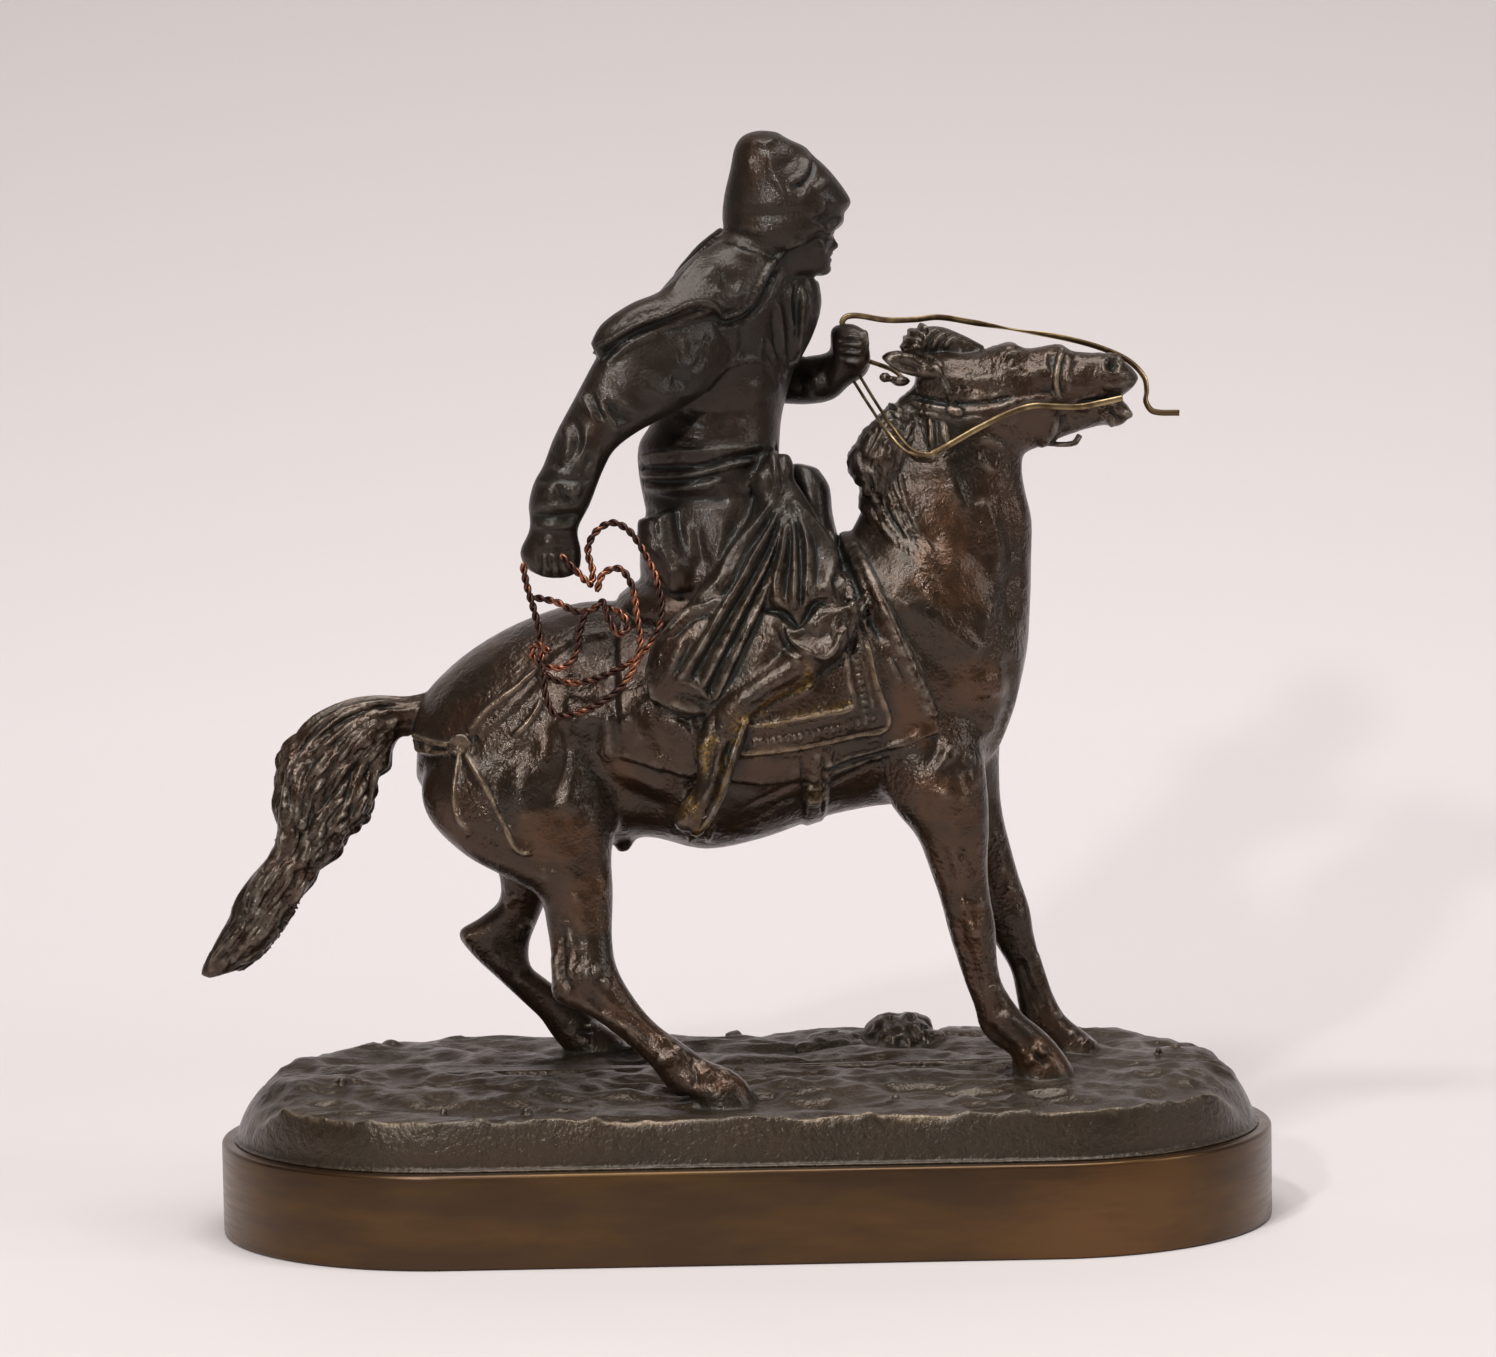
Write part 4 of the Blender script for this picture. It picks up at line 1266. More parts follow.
SLEEVE_STROKES = [
    (0.5, 1.4, 1.0, [(-25, 182.4), (-21, 184.4), (-17, 185.6), (-13, 186)]),
    (0.4, 0.8, 0.8, [(-10.4, 185.2), (-10.8, 182)]),
    (0.45, 0.7, 0.7, [(-5.4, 184.8), (-5.6, 182)]),
    (-0.4, 1.4, 1.4, [(-8, 184.8), (-8.4, 180.6)]),
    (-0.45, 1.5, 1.5, [(-20, 181), (-16, 178.4), (-12, 177.6)]),
    (-0.4, 1.5, 1.5, [(-26, 178), (-22, 173.6), (-17, 171)]),
    (0.45, 1.2, 1.2, [(-19.6, 176), (-15.6, 173.8), (-12.6, 173)]),
    # Elbow
    (0.8, 0.7, 0.7, [(-31.6, 174), (-30.4, 171), (-28.8, 168.2)]),
    (-0.8, 0.7, 0.7, [(-29.8, 174), (-28.6, 171), (-27, 168.4)]),
    (0.7, 0.7, 0.7, [(-27.8, 171.6), (-26, 168.4), (-24.2, 165.4)]),
    (-1.0, 1.0, 1.0, [(-26.8, 172), (-24, 169.4), (-20.8, 168.6)]),
    (0.5, 0.8, 0.8, [(-26, 173.4), (-22.6, 171)]),
    # Forearm, crumpled
    (0.6, 1.0, 1.0, [(-36, 168), (-34.6, 164), (-35.4, 160)]),
    (-0.6, 0.9, 0.9, [(-33.4, 168.4), (-32.4, 164.6), (-33.4, 161)]),
    (0.6, 1.1, 1.1, [(-30.6, 166.6), (-31, 163), (-33.2, 158.6)]),
    (-0.6, 0.8, 0.8, [(-30, 162), (-31.4, 158.4), (-32.6, 156.4)]),
    (0.6, 0.9, 0.9, [(-28.4, 163.4), (-29.4, 159.4), (-30, 156.6)]),
    (-0.4, 0.8, 0.8, [(-38.4, 162), (-36.6, 158)]),
    (0.4, 0.7, 0.7, [(-38.6, 158.6), (-36, 157.6)]),
    # Cuff: lumps between two creases, then the tight band at the wrist
    (-0.6, 0.6, 0.6, [(-41.4, 156), (-37, 156.2), (-33, 156), (-29.6, 156.6)]),
    (0.7, 1.6, 1.6, [(-39.4, 154), (-37.6, 153)]),
    (0.8, 1.6, 1.6, [(-34.6, 154.2), (-32.4, 153.4)]),
    (-0.8, 0.6, 0.6, [(-37, 155.6), (-36.2, 153), (-33.6, 150.8)]),
    (0.6, 0.8, 0.8, [(-41, 151.4), (-37, 150.6), (-32, 151.2)]),
    (-1.0, 0.9, 0.9, [(-42.6, 148.8), (-38, 148.2), (-32.4, 148.8)]),
    (0.5, 0.7, 0.7, [(-42.4, 146.8), (-38, 146.4), (-33, 147)]),
    # Back of the hand and the curled fingers
    (0.5, 1.4, 1.4, [(-40.6, 143), (-37.6, 143)]),
    (-0.5, 0.7, 0.7, [(-42, 141), (-38, 141.2), (-34, 141.6)]),
    (-0.8, 0.42, 0.42, [(-41.2, 141), (-41, 138.4), (-40.6, 136)]),
    (-0.8, 0.42, 0.42, [(-39.2, 141), (-38.9, 138), (-38.4, 135.4)]),
    (-0.8, 0.42, 0.42, [(-37, 141), (-36.8, 138), (-36.4, 135.4)]),
    (-0.7, 0.42, 0.42, [(-35, 141), (-34.8, 138.4), (-34.2, 136)]),
]

SKIRT_STROKES = [
    # The upper edge of the skirt, rolled, from the knot to the saddle's rear
    (1.1, 0.6, 0.8, [(7.6, 150.8), (5.4, 147.4), (2.8, 144.4), (0.2, 141.8), (-1.8, 138.8), (-3.2, 135.2),
        (-5.6, 132.4), (-9, 130.4)]),
    (-1.1, 0.7, 0.7, [(7.8, 148.6), (4.9, 144.4), (2.1, 141), (0.2, 137.2), (-1.4, 133.6), (-3.6, 131)]),
    # Folds that fan out of the knot towards the rear hem
    (1.3, 0.8, 0.7, [(8.8, 149), (6.2, 144), (3.2, 139), (0.8, 134.6), (-2.4, 130), (-6, 124),
        (-9.8, 118), (-12.8, 114)]),
    (-1.2, 0.65, 0.65, [(9, 147.4), (7.2, 142.6), (4.6, 137.6), (1.8, 133), (-1, 128.6), (-4.6, 122.6),
        (-8, 116.8), (-10, 113.8)]),
    (1.2, 0.7, 0.6, [(9.4, 147.6), (7.8, 142), (5.4, 136.6), (2.4, 131.2), (-0.4, 126.2), (-3.6, 120.4),
        (-6.6, 114.8), (-8.4, 111.8)]),
    (-1.1, 0.7, 0.7, [(8.6, 141.6), (6, 135.6), (3, 130), (0.2, 124.6), (-2.4, 119), (-5, 113.6),
        (-6.2, 110.4)]),
    (1.0, 0.8, 0.6, [(8.2, 138), (5.8, 132.6), (3.4, 127.4), (0.8, 122.4), (-2, 116.6), (-4.4, 111.6),
        (-5.6, 109.2)]),
    (-0.5, 1.4, 1.4, [(6.6, 130), (3.6, 123), (0.6, 117), (-1.6, 112.6)]),
    # The scalloped edge behind them
    (1.0, 0.7, 0.45, [(-3.6, 130.8), (-6.6, 129.4), (-9.6, 128.6), (-11.6, 127), (-13.6, 124.8),
        (-15.4, 123.4), (-17, 122.2)]),
    (-0.8, 0.6, 0.6, [(-5, 127.6), (-9, 126.8), (-11.6, 124.8), (-14, 122.6)]),
    (0.6, 1.0, 1.0, [(-11, 122), (-13, 118.6), (-15, 115)]),
    (-0.6, 0.8, 0.8, [(-9.6, 123), (-12, 118), (-13.8, 114.6)]),
    # Front fall: broad pleats with bright edges, and the shadow under their scalloped hem
    (1.4, 0.5, 1.5, [(10.8, 146.4), (10.2, 142), (9.4, 138), (8.4, 134.4), (8.4, 131.4), (9.4, 129.8)]),
    (-1.4, 0.6, 0.6, [(11.2, 145.4), (10.9, 141), (10.4, 137), (9.8, 133.4), (9.8, 130.6)]),
    (1.2, 0.8, 0.8, [(11.4, 147.4), (11.8, 142), (12, 137), (11.8, 132), (11.8, 127.6)]),
    (-1.2, 0.5, 0.5, [(12.6, 146), (13.1, 141), (13.2, 136), (12.9, 131), (13, 128.4)]),
    (1.3, 1.4, 0.45, [(12.4, 148), (13.9, 143.6), (14.4, 140), (14.4, 136), (14, 132), (14.4, 129.4)]),
    (-0.6, 0.8, 0.8, [(16.4, 143), (16.8, 138), (16.6, 133)]),
    (1.4, 0.5, 1.5, [(11, 151.6), (14.2, 148), (16.8, 145), (18.8, 142), (19.9, 138.6), (19.4, 135.6),
        (18.6, 133.2), (19.6, 131.4)]),
    (-1.2, 0.6, 0.6, [(20.4, 142), (21.2, 138), (20.8, 134.4), (20.2, 132.4)]),
    (0.6, 0.6, 0.6, [(6.8, 141), (6.2, 136), (5.4, 131.4)]),
    (-1.5, 0.8, 0.8, [(4.8, 128.4), (8.2, 127.8), (10.2, 126.4), (12, 124.8), (13.8, 126.6),
        (16.4, 129.4), (19.4, 129.6)]),
    # Rear hem
    (0.7, 0.5, 0.5, [(-13.4, 113.6), (-10.6, 113.4), (-8.4, 112), (-6.4, 109.8), (-5.2, 109)]),
    (0.5, 0.8, 0.8, [(-15, 109.4), (-10, 107.4), (-6, 107.4)]),
    (-0.6, 0.6, 0.6, [(-14, 111), (-10, 110), (-6.6, 108.2)]),
    (0.5, 0.9, 0.9, [(-15, 106), (-10.6, 102.8), (-9, 100)]),
    (0.6, 0.55, 0.55, [(-19.4, 118), (-18.4, 112), (-17.6, 107.4)]),
    # The knee flap's turned rim, round the hollow below the front fall
    (-1.2, 1.6, 1.6, [(12.4, 124.4), (16, 122.2), (19.6, 124)]),
    (1.0, 0.5, 0.7, [(10, 125.2), (11.2, 122.2), (13, 120.3), (15.4, 119), (17.8, 118.4), (19.8, 120),
        (21.4, 123.2), (23.4, 125)]),
    (0.6, 0.5, 0.6, [(6.8, 124.4), (8.2, 121.4), (10.4, 118.8), (13, 117.2)]),
    (0.7, 0.6, 0.6, [(20.4, 139.4), (21.6, 134.6), (22.6, 130.6), (24.4, 127.6)]),
    (0.7, 0.6, 0.8, [(21.4, 144.6), (24.2, 137.6), (26.4, 131), (27.2, 126.8), (25.6, 123.4)]),
    (-0.7, 0.6, 0.6, [(22, 126.6), (23.6, 122.6), (23.2, 119)]),
]

BOOT_STROKES = [
    (0.5, 0.6, 0.6, [(14.8, 116.4), (15.6, 113.6), (14.4, 111.6), (11, 110), (7, 108.4), (3, 105.8),
        (0, 103.6)]),
    (-0.5, 0.7, 0.7, [(13, 117.4), (13.4, 114.6), (10.4, 112), (6, 110.4), (1, 106.8)]),
    (0.4, 1.8, 1.8, [(6, 114.6), (1, 111), (-3, 107)]),
    (-0.6, 0.6, 0.6, [(-5, 107.4), (-5.6, 104), (-3.6, 100.4)]),
    (0.6, 1.1, 1.1, [(-7.6, 102), (-8, 98.6), (-7.6, 95.4)]),
    (-0.5, 0.5, 0.5, [(-5.4, 102), (-6, 97), (-7, 93)]),
    (0.5, 0.5, 0.5, [(-3.4, 102.6), (-4.8, 97), (-6.4, 91.6), (-8.2, 88)]),
    (-0.5, 0.5, 0.5, [(-2, 101), (-3.4, 96)]),
    (0.5, 0.5, 0.5, [(-0.8, 100.6), (-2.6, 95), (-4.4, 89)]),
    (0.5, 0.7, 0.7, [(-11.4, 91), (-12.6, 87)]),
    (-0.4, 0.5, 0.5, [(-9.4, 92), (-10.4, 88)]),
]

LEFT_HAND_STROKES = [
    (0.5, 0.4, 0.4, [(22, 184.6), (24, 184.8), (26.4, 184.2)]),
    (-0.6, 0.3, 0.3, [(21.6, 183.9), (24, 184), (26.6, 183.6)]),
    (0.5, 0.4, 0.4, [(22, 183), (24.4, 183.1), (26.6, 182.6)]),
    (-0.6, 0.3, 0.3, [(21.8, 182.2), (24, 182.3), (26.6, 181.9)]),
    (0.5, 0.4, 0.4, [(22.2, 181.4), (24.4, 181.4), (26.4, 181)]),
    (-0.6, 0.3, 0.3, [(22, 180.5), (24, 180.5), (26.4, 180.2)]),
    (0.5, 0.4, 0.4, [(22.6, 179.6), (24.4, 179.5), (26.2, 179.2)]),
    (0.6, 0.6, 0.6, [(26.6, 186), (28, 184.6), (28.4, 182.4)]),
    (0.5, 0.9, 0.9, [(15.6, 178), (17, 175), (16.6, 172)]),
    (-0.5, 0.8, 0.8, [(18.6, 178), (19.4, 174.6)]),
    (-0.5, 0.8, 0.8, [(13.4, 177), (14.4, 173)]),
]

# Areas in the near view, rubbed through to brown or left gilt: outline and strength
RUBBED_AREAS = [
    (0.9, [(-47, 80), (-45, 87), (-38, 87.4), (-31, 84), (-29, 79), (-36, 76), (-43, 76)]),
    (0.7, [(-29, 98), (-24, 98), (-20, 92), (-27, 92)]),
    (0.8, [(-38, 73), (-28, 74), (-28, 62), (-34, 60), (-38, 64)]),
    (0.9, [(45, 66), (50.4, 66), (50.6, 56), (47.6, 53), (45.4, 58)]),
    (0.8, [(44, 115), (49, 118), (55, 115), (55.6, 108), (47, 107)]),
    (0.7, [(35, 133), (43, 127), (52, 128), (50, 134), (46, 150), (42, 158), (40, 148)]),
    (0.8, [(32, 112), (36, 112), (41, 104), (38, 98), (31, 101)]),
    (0.7, [(34, 92), (50, 94), (50, 82), (38, 82)]),
    (0.9, [(0.4, 226.6), (7, 228), (8.6, 221.6), (6, 216), (1.6, 218)]),
    (0.7, [(-31, 170), (-27, 170), (-25, 163), (-30, 163)]),
    (0.6, [(0, 174), (6, 174), (6, 164), (-8, 164), (-8, 170)]),
    (0.8, [(-11, 32), (-3, 36), (3, 30), (-1, 27), (-11, 27)]),
    (0.6, [(-30, 47), (-20, 44), (-13, 38), (-18, 36), (-28, 43)]),
    (0.8, [(56, 36), (64, 38), (69, 31), (64, 28), (57, 30)]),
    (0.5, [(36, 82), (50, 80), (50, 70), (41, 68)]),
]
OCHRE_AREAS = [
    (1.0, [
        (13.4, 116.8), (14.8, 116.4), (15.7, 114.4), (14.8, 111.8), (11, 110.2), (6, 107.6), (2, 104.4),
        (-1, 102.6),
        (-0.8, 104.2), (3, 107), (8, 110.4), (12.4, 112.4), (13.6, 114.4)]),
    (0.9, [(-8.6, 95), (-8.3, 100), (-6.4, 103.4), (-4.6, 102.4), (-5.8, 98), (-7, 94.4)]),
    (0.6, [(-4.6, 87), (-2.4, 95), (0, 102), (1, 104), (-0.4, 104), (-3.6, 98), (-5.4, 90)]),
    (0.7, [(1, 103.5), (1, 104.6), (12, 105.9), (23, 108.4), (23.4, 107.4), (12, 104.9)]),
    (0.4, [(1, 97.6), (1, 98.8), (12, 99.9), (12, 98.9)]),
    (0.4, [(-14.6, 85), (-14, 88), (-9.6, 91), (-9, 86), (-11, 83.6)]),
    (0.6, [(14, 87.4), (14, 91), (16.6, 91), (16.6, 87.4)]),
    (0.4, [(-11, 80), (-9, 84.6), (-6, 84.6), (-7.6, 80)]),
]


# Cast ground: the rings of the ground, from its foot inwards, and the rocks half sunk in it

GROUND_INSET = 2.5
GROUND_FOOT_RISE = 0.5
GROUND_LEDGE = 0.8
GROUND_RISE = 13.0
GROUND_SHOULDER = 12.5
GROUND_RIPPLE = 0.8
GROUND_EDGE_WAVE = 1.1
GROUND_BACK_SLOPE = 0.03
# The front edge: how high its face stands at shares of the shoulder, with a rough crest at CREST_RUN
GROUND_FRONT = ([0, 0.03, 0.07, 0.11, 0.15, 0.5, 1], [0, 0.4, 0.66, 0.76, 0.775, 0.88, 1])
CREST_RUN = 0.12
CREST_HEIGHT = 0.7
# The ground falls towards the front edge, most under the near hind hoof
FRONT_FALL = 1.5
HOOF_HOLLOW = (-5, -31, 18, 9, 1.9)
GROUND_BASE = float(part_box("horse_and_rider")[0][2]) / MM
ROCKS = [
    (19, 24, 7.2, 8, 3.4), (33.6, 29, 8, 9, 5.3), (47, 32, 7, 6, 2.2), (13.4, 19, 3, 3, 1.5),
    (-2, 33, 2.4, 2.2, 1.2),
    (24, 20, 3.4, 3, 1.6), (40, 24, 4, 3.4, 2.4), (-76, 30, 2.6, 2.4, 1.2),
]
PEBBLES = [
    (-1.6, -5, 1.2), (-45, -38.5, 1.3), (-62, -34, 0.9), (30, -32, 0.9), (87, 3.5, 0.8), (-84, -12, 1.0),
    (-44, -24, 1.0), (91, 8, 1.0), (-32, -31, 0.7), (45.6, 8, 0.7),
]
KNOB = (34.6, 29, 37.2, 0.9)


def ground_height(x, y, inset):
    """The ground's top at a place so far in from its foot."""
    run = np.clip((inset - GROUND_LEDGE) / GROUND_SHOULDER, 0, 1)
    front = smoothstep(-16, -30, y)
    rounded = (1 - (1 - run) ** 2.2) ** 0.75
    shoulder = rounded + (np.interp(run, *GROUND_FRONT) - rounded) * front
    broad = np.sin(x * 0.16 + y * 0.31) + np.sin(x * 0.09 - y * 0.23 + 1.7)
    ripple = (broad + np.sin(x * 0.41 + 2.1) * np.sin(y * 0.47 + x * 0.12)) * 0.5 * GROUND_RIPPLE
    crest = 0.6 + 0.4 * np.sin(x * 0.9 + 2 * np.sin(x * 0.23))
    crest = CREST_HEIGHT * front * crest * np.exp(-((run - CREST_RUN) / 0.035) ** 2)
    middle_x, middle_y, reach_x, reach_y, depth = HOOF_HOLLOW
    fall = FRONT_FALL * smoothstep(-14, -34, y)
    fall = fall + depth * np.exp(-((x - middle_x) / reach_x) ** 2 - ((y - middle_y) / reach_y) ** 2)
    rise = (GROUND_RISE - GROUND_FOOT_RISE) * shoulder + (ripple + y * GROUND_BACK_SLOPE - fall) * run + crest
    return GROUND_BASE + GROUND_FOOT_RISE + rise


def ground_ring(inset, height=None):
    """One outline of the ground, so far in from its foot."""
    radius = PLINTH_WIDTH / 2 - GROUND_INSET
    straight = (PLINTH_LENGTH - PLINTH_WIDTH) / 2
    wave = GROUND_EDGE_WAVE * min(inset / (GROUND_LEDGE + GROUND_SHOULDER), 1)
    parts = []
    for direction in (1, -1):
        x = direction * straight * np.linspace(-1, 1, 190, endpoint=False)
        reach = radius - inset + wave * np.sin(x * 0.13 + direction)
        parts.append(np.stack([x, -direction * reach], 1))
        angle = (np.linspace(0, 1, 190, endpoint=False) - 0.5 * direction) * math.pi
        reach = radius - inset + wave * np.sin(angle * 5 + direction)
        parts.append(np.stack([direction * straight + reach * np.cos(angle), reach * np.sin(angle)], 1))
    flat = np.concatenate(parts)
    z = ground_height(flat[:, 0], flat[:, 1], inset) if height is None else np.full(len(flat), height)
    return np.column_stack([flat, z])


def build_ground():
    """The cast ground with its hollows, wavy ridges and rough front crest, and its rocks."""
    insets = np.concatenate([
        [0, 0.4], GROUND_LEDGE + GROUND_SHOULDER * np.linspace(0, 1, 46) ** 1.7, np.linspace(13.9, 43, 80),
    ])
    ground = skin(np.array([ground_ring(0, GROUND_BASE), *(ground_ring(inset) for inset in insets)]))
    points = points_of(ground.data)
    normals = normals_of(ground.data)
    top = smoothstep(GROUND_BASE + 7, GROUND_BASE + 11, points[:, 2])
    lumps = grain(points * (0.7, 1, 1), 9, 3) * 0.5
    lumps += 0.5 - np.abs(grain(points * (0.36, 1, 1), 4.4, 5)) * 1.8
    lumps += 0.25 - np.abs(grain(points * (0.5, 1, 1), 2.3, 7)) * 0.9
    face = smoothstep(GROUND_BASE + 1.2, GROUND_BASE + 2.6, points[:, 2])
    smooth = grain(points * (0.5, 1, 1), 8, 11) * 0.3
    points += normals * (lumps * top * 0.8 + smooth * face)[:, None]
    set_points(ground.data, points)
    forms = [ground]
    for seed, (x, y, length, width, height) in enumerate(ROCKS):
        rock = ball((x, y, ground_height(x, y, 20)), (length, width, height))
        apply_modifier(rock, "SUBSURF", levels=2, render_levels=2)
        points = points_of(rock.data)
        cracks = grain(points, 3.6, 40 + seed) * 0.9 - np.abs(grain(points, 2.4, 60 + seed)) * 1.4
        set_points(rock.data, points + normals_of(rock.data) * (cracks * min(1, height / 3))[:, None])
        forms.append(rock)
    for x, y, size in PEBBLES:
        forms.append(ball((x, y, ground_height(x, y, 16) + size * 0.35), (size, size, size * 0.85)))
    forms.append(ball(KNOB[:3], (KNOB[3],) * 3))
    return forms


# Hair

def surface_route(rows, along, angle, lift):
    """A line on a loft: how far along the rows and round the section each of its points lies."""
    table = full_rows(rows)
    at = np.clip(along, 0, 1) * (len(table) - 1)
    x1, z1, x2, z2, y, half, broaden, lean, turn = hermite(table, np.arange(len(table), dtype=float), at).T
    length = np.hypot(x1 - x2, z1 - z2) / 2
    stretch = (length + lift) / length
    cos, sin = np.cos(angle), np.sin(angle)
    return np.stack([
        (x1 + x2) / 2 + (x1 - x2) / 2 * stretch * cos + turn * sin,
        y + (half + lift) * sin * (1 + broaden * cos) + lean * cos,
        (z1 + z2) / 2 + (z1 - z2) / 2 * stretch * cos + FIGURE_LIFT,
    ], 1)


def locks(rows, count, angles, starts, length, radius, seed, swing=0.35):
    """Staggered locks of hair that lie along a loft, swing to and fro and thin out at their ends."""
    random = np.random.default_rng(seed)
    made = []
    for index in range(count):
        angle = angles[0] + (angles[1] - angles[0]) * ((index * 0.618) % 1)
        start = starts[0] + (starts[1] - starts[0]) * random.random()
        along = start + np.linspace(0, length * random.uniform(0.7, 1.2), 9)
        along = along[along < 0.985]
        if len(along) < 4:
            continue
        share = np.linspace(0, 1, len(along))
        turn = angle + swing * np.sin(share * random.uniform(3, 6) + random.uniform(0, 6))
        size = radius * random.uniform(0.75, 1.2)
        made.append(tube(surface_route(rows, along, turn, -0.2 * size), size, sides=8, taper=0.45))
    return made


def tail_carving(angle, along):
    """Strands in the tail, as shares of the distance from its middle."""
    swing = 2.6 * np.sin(along * 7)
    depth = 0.09 * np.sin(5 * angle + swing) + 0.06 * np.sin(13 * angle - 2 * swing + 9 * along)
    return 1 + (depth + 0.035 * np.sin(27 * angle + 3 * swing)) * smoothstep(0.0, 0.2, along)


def mane_carving(angle, along):
    """Upright tufts in the clipped mane."""
    return 1 + 0.03 * np.sin(along * 42 + 2 * np.sin(angle)) + 0.025 * np.sin(along * 110 + 3 * angle)


def strands(upper, lower, count, height, width, seed):
    """Strokes for hair that runs between two edges, each strand waving and broken into locks."""
    random = np.random.default_rng(seed)
    at = np.linspace(0, 1, 60)
    edges = []
    for edge in (upper, lower):
        edge = np.array(edge, float)
        place = np.concatenate([[0], np.cumsum(np.linalg.norm(np.diff(edge, axis=0), axis=1))])
        edges.append(hermite(edge, place / place[-1], at))
    made = []
    for index in range(count):
        swing = np.sin(at * random.uniform(14, 24) + random.uniform(0, 6))
        share = (index + 0.5) / count + 0.25 / count * swing
        line = edges[0] * (1 - share)[:, None] + edges[1] * share[:, None]
        start = random.integers(0, 6)
        while start < 54:
            stop = start + random.integers(12, 24)
            made.append((height * random.uniform(0.6, 1.2), width, width * 1.2, line[start:stop:3]))
            start = stop + random.integers(0, 2)
    return made


# Pony and rider

def soften(obj, rounds, weights):
    """Rounds a mesh off, each point as much as its weight says."""
    points = points_of(obj.data)
    ends = edge_ends(obj.data)
    for _ in range(rounds):
        points += (neighbour_mean(points, ends) - points) * (0.6 * weights)[:, None]
    set_points(obj.data, points)


def trim_on(obj, cords, discs, view):
    """Cords, straps and discs laid on what a view shows of the object."""
    points, normals = points_of(obj.data), normals_of(obj.data)
    flat, weight = visibility(points, normals, view)
    shown = weight > 0.4
    flat, points, normals = flat[shown], points[shown], normals[shown]

    def nearest(spot):
        distance = np.sum((flat - spot) ** 2, axis=1)
        chosen = np.argpartition(distance, 8)[:8]
        return points[chosen].mean(0), normals[chosen].mean(0)

    forms = []
    for radius, width, line in cords:
        found = [nearest(spot) for spot in curve_through(np.array(line, float), 0.9)]
        route = np.array([place + normal * radius * 0.4 for place, normal in found])
        for _ in range(2):
            route[1:-1] += (route[:-2] + route[2:] - 2 * route[1:-1]) * 0.25
        forms.append(tube(route, radius, 8, 0.5, width))
    for radius, spot in discs:
        place, normal = nearest(np.array(spot, float))
        turn = Vector(normal).to_track_quat("Z", "Y").to_matrix().to_4x4()
        around = np.arange(25) / 24 * 2 * math.pi
        rim = np.stack([np.cos(around), np.sin(around), 0 * around], 1) * radius + (0, 0, 0.6)
        for form in (ball((0, 0, 0.1), (radius, radius, 0.75)), tube(rim, 0.4, 8, 0.4)):
            form.data.transform(Matrix.Translation(Vector(place)) @ turn)
            forms.append(form)
    return forms


def build_pony():
    """The pony's body and head with its muscles, and the cloths that lie on it."""
    forms = [loft(BARREL, 56), loft(NECK, 48), loft(HEAD, 48), loft(JAW, 40), loft(SHEATH, 24)]
    forms += [loft(rows) for rows in (NEAR_FORELEG, FAR_FORELEG, NEAR_HIND_LEG, FAR_HIND_LEG)]
    pony = join_objects(forms, "pony")
    fuse(pony, 0.6)
    points = points_of(pony.data)
    legs = smoothstep(84, 66, points[:, 2])
    head = smoothstep(36, 44, points[:, 0]) * smoothstep(156, 164, points[:, 2])
    soften(pony, 22, 1 - 0.75 * legs - 0.8 * head)
    for view in ("near", "far"):
        press(pony, PONY_BODY_STROKES, view)
        press(pony, PONY_HEAD_STROKES, view)
    for outline, thickness in (
        (CROUP_CLOTH_OUTLINE, CROUP_CLOTH_THICKNESS), (BLANKET_OUTLINE, BLANKET_THICKNESS),
        (SADDLE_CLOTH_OUTLINE, SADDLE_CLOTH_THICKNESS), (GIRTH_OUTLINE, GIRTH_THICKNESS),
    ):
        lay_cloth(pony, outline, thickness)
    trim = trim_on(pony, PONY_CORDS, PONY_DISCS, "near") + trim_on(pony, PONY_CORDS, PONY_DISCS, "far")
    trim += [tube([(x, y * side, z) for x, y, z in CURB_BAR], 0.45, 8, 0.5) for side in (1, -1)]
    return [pony, *trim]


# A calm, regular face between the cap's brim and the hood: the brow, the foot of the nose and the chin a
# third of the face apart, the eyes one eye's width apart, the mouth a third of the way down from the nose
FACE_FORMS = [
    ((18.6, 0, 206.7), (1.7, 5.0, 0.9)), ((18.4, 0, 198.6), (2.2, 2.3, 1.6)),
    ((18.2, 0, 201.2), (2.1, 2.6, 1.5)), ((20.1, 0, 201.3), (0.8, 1.9, 0.45)),
    ((19.9, 0, 200.4), (0.8, 1.6, 0.5)),
]
for side in (-1, 1):
    FACE_FORMS += [
        ((17.4, 3.7 * side, 203.3), (2.4, 2.0, 2.1)), ((19.2, 2.6 * side, 205.3), (0.9, 1.2, 0.9)),
        ((20.6, 1.1 * side, 202.7), (0.8, 0.7, 0.6)),
    ]
NOSE = [(20.2, 206.9, 18.6, 206.6, 0, 0.8), (21.6, 204.2, 18.6, 204, 0, 1.0),
    (22.2, 203.1, 18.8, 202.8, 0, 1.3),
        (21.2, 202.2, 18.8, 202.2, 0, 1.1)]
# In the front view
FACE_STROKES = [
    (-0.45, 0.3, 0.3, [(-1.8, 201.1), (0, 201.2), (1.8, 201.1)]),
    (-0.4, 0.5, 0.5, [(-1.2, 199.8), (0, 199.7), (1.2, 199.8)]),
]
for side in (-1, 1):
    FACE_STROKES += [
        (0.45, 0.4, 0.4, [(3.9 * side, 205.7), (2.7 * side, 206.4), (1.5 * side, 205.9)]),
        (0.3, 0.35, 0.35, [(3.8 * side, 205.1), (2.7 * side, 204.6), (1.6 * side, 205.1)]),
        (-0.3, 0.4, 0.4, [(0.6 * side, 202.4)]),
    ]


def face_forms():
    """The face's lumps and its nose."""
    return [ball((x, y, z + FIGURE_LIFT), radii) for (x, y, z), radii in FACE_FORMS] + [loft(NOSE, 24, 0.5)]


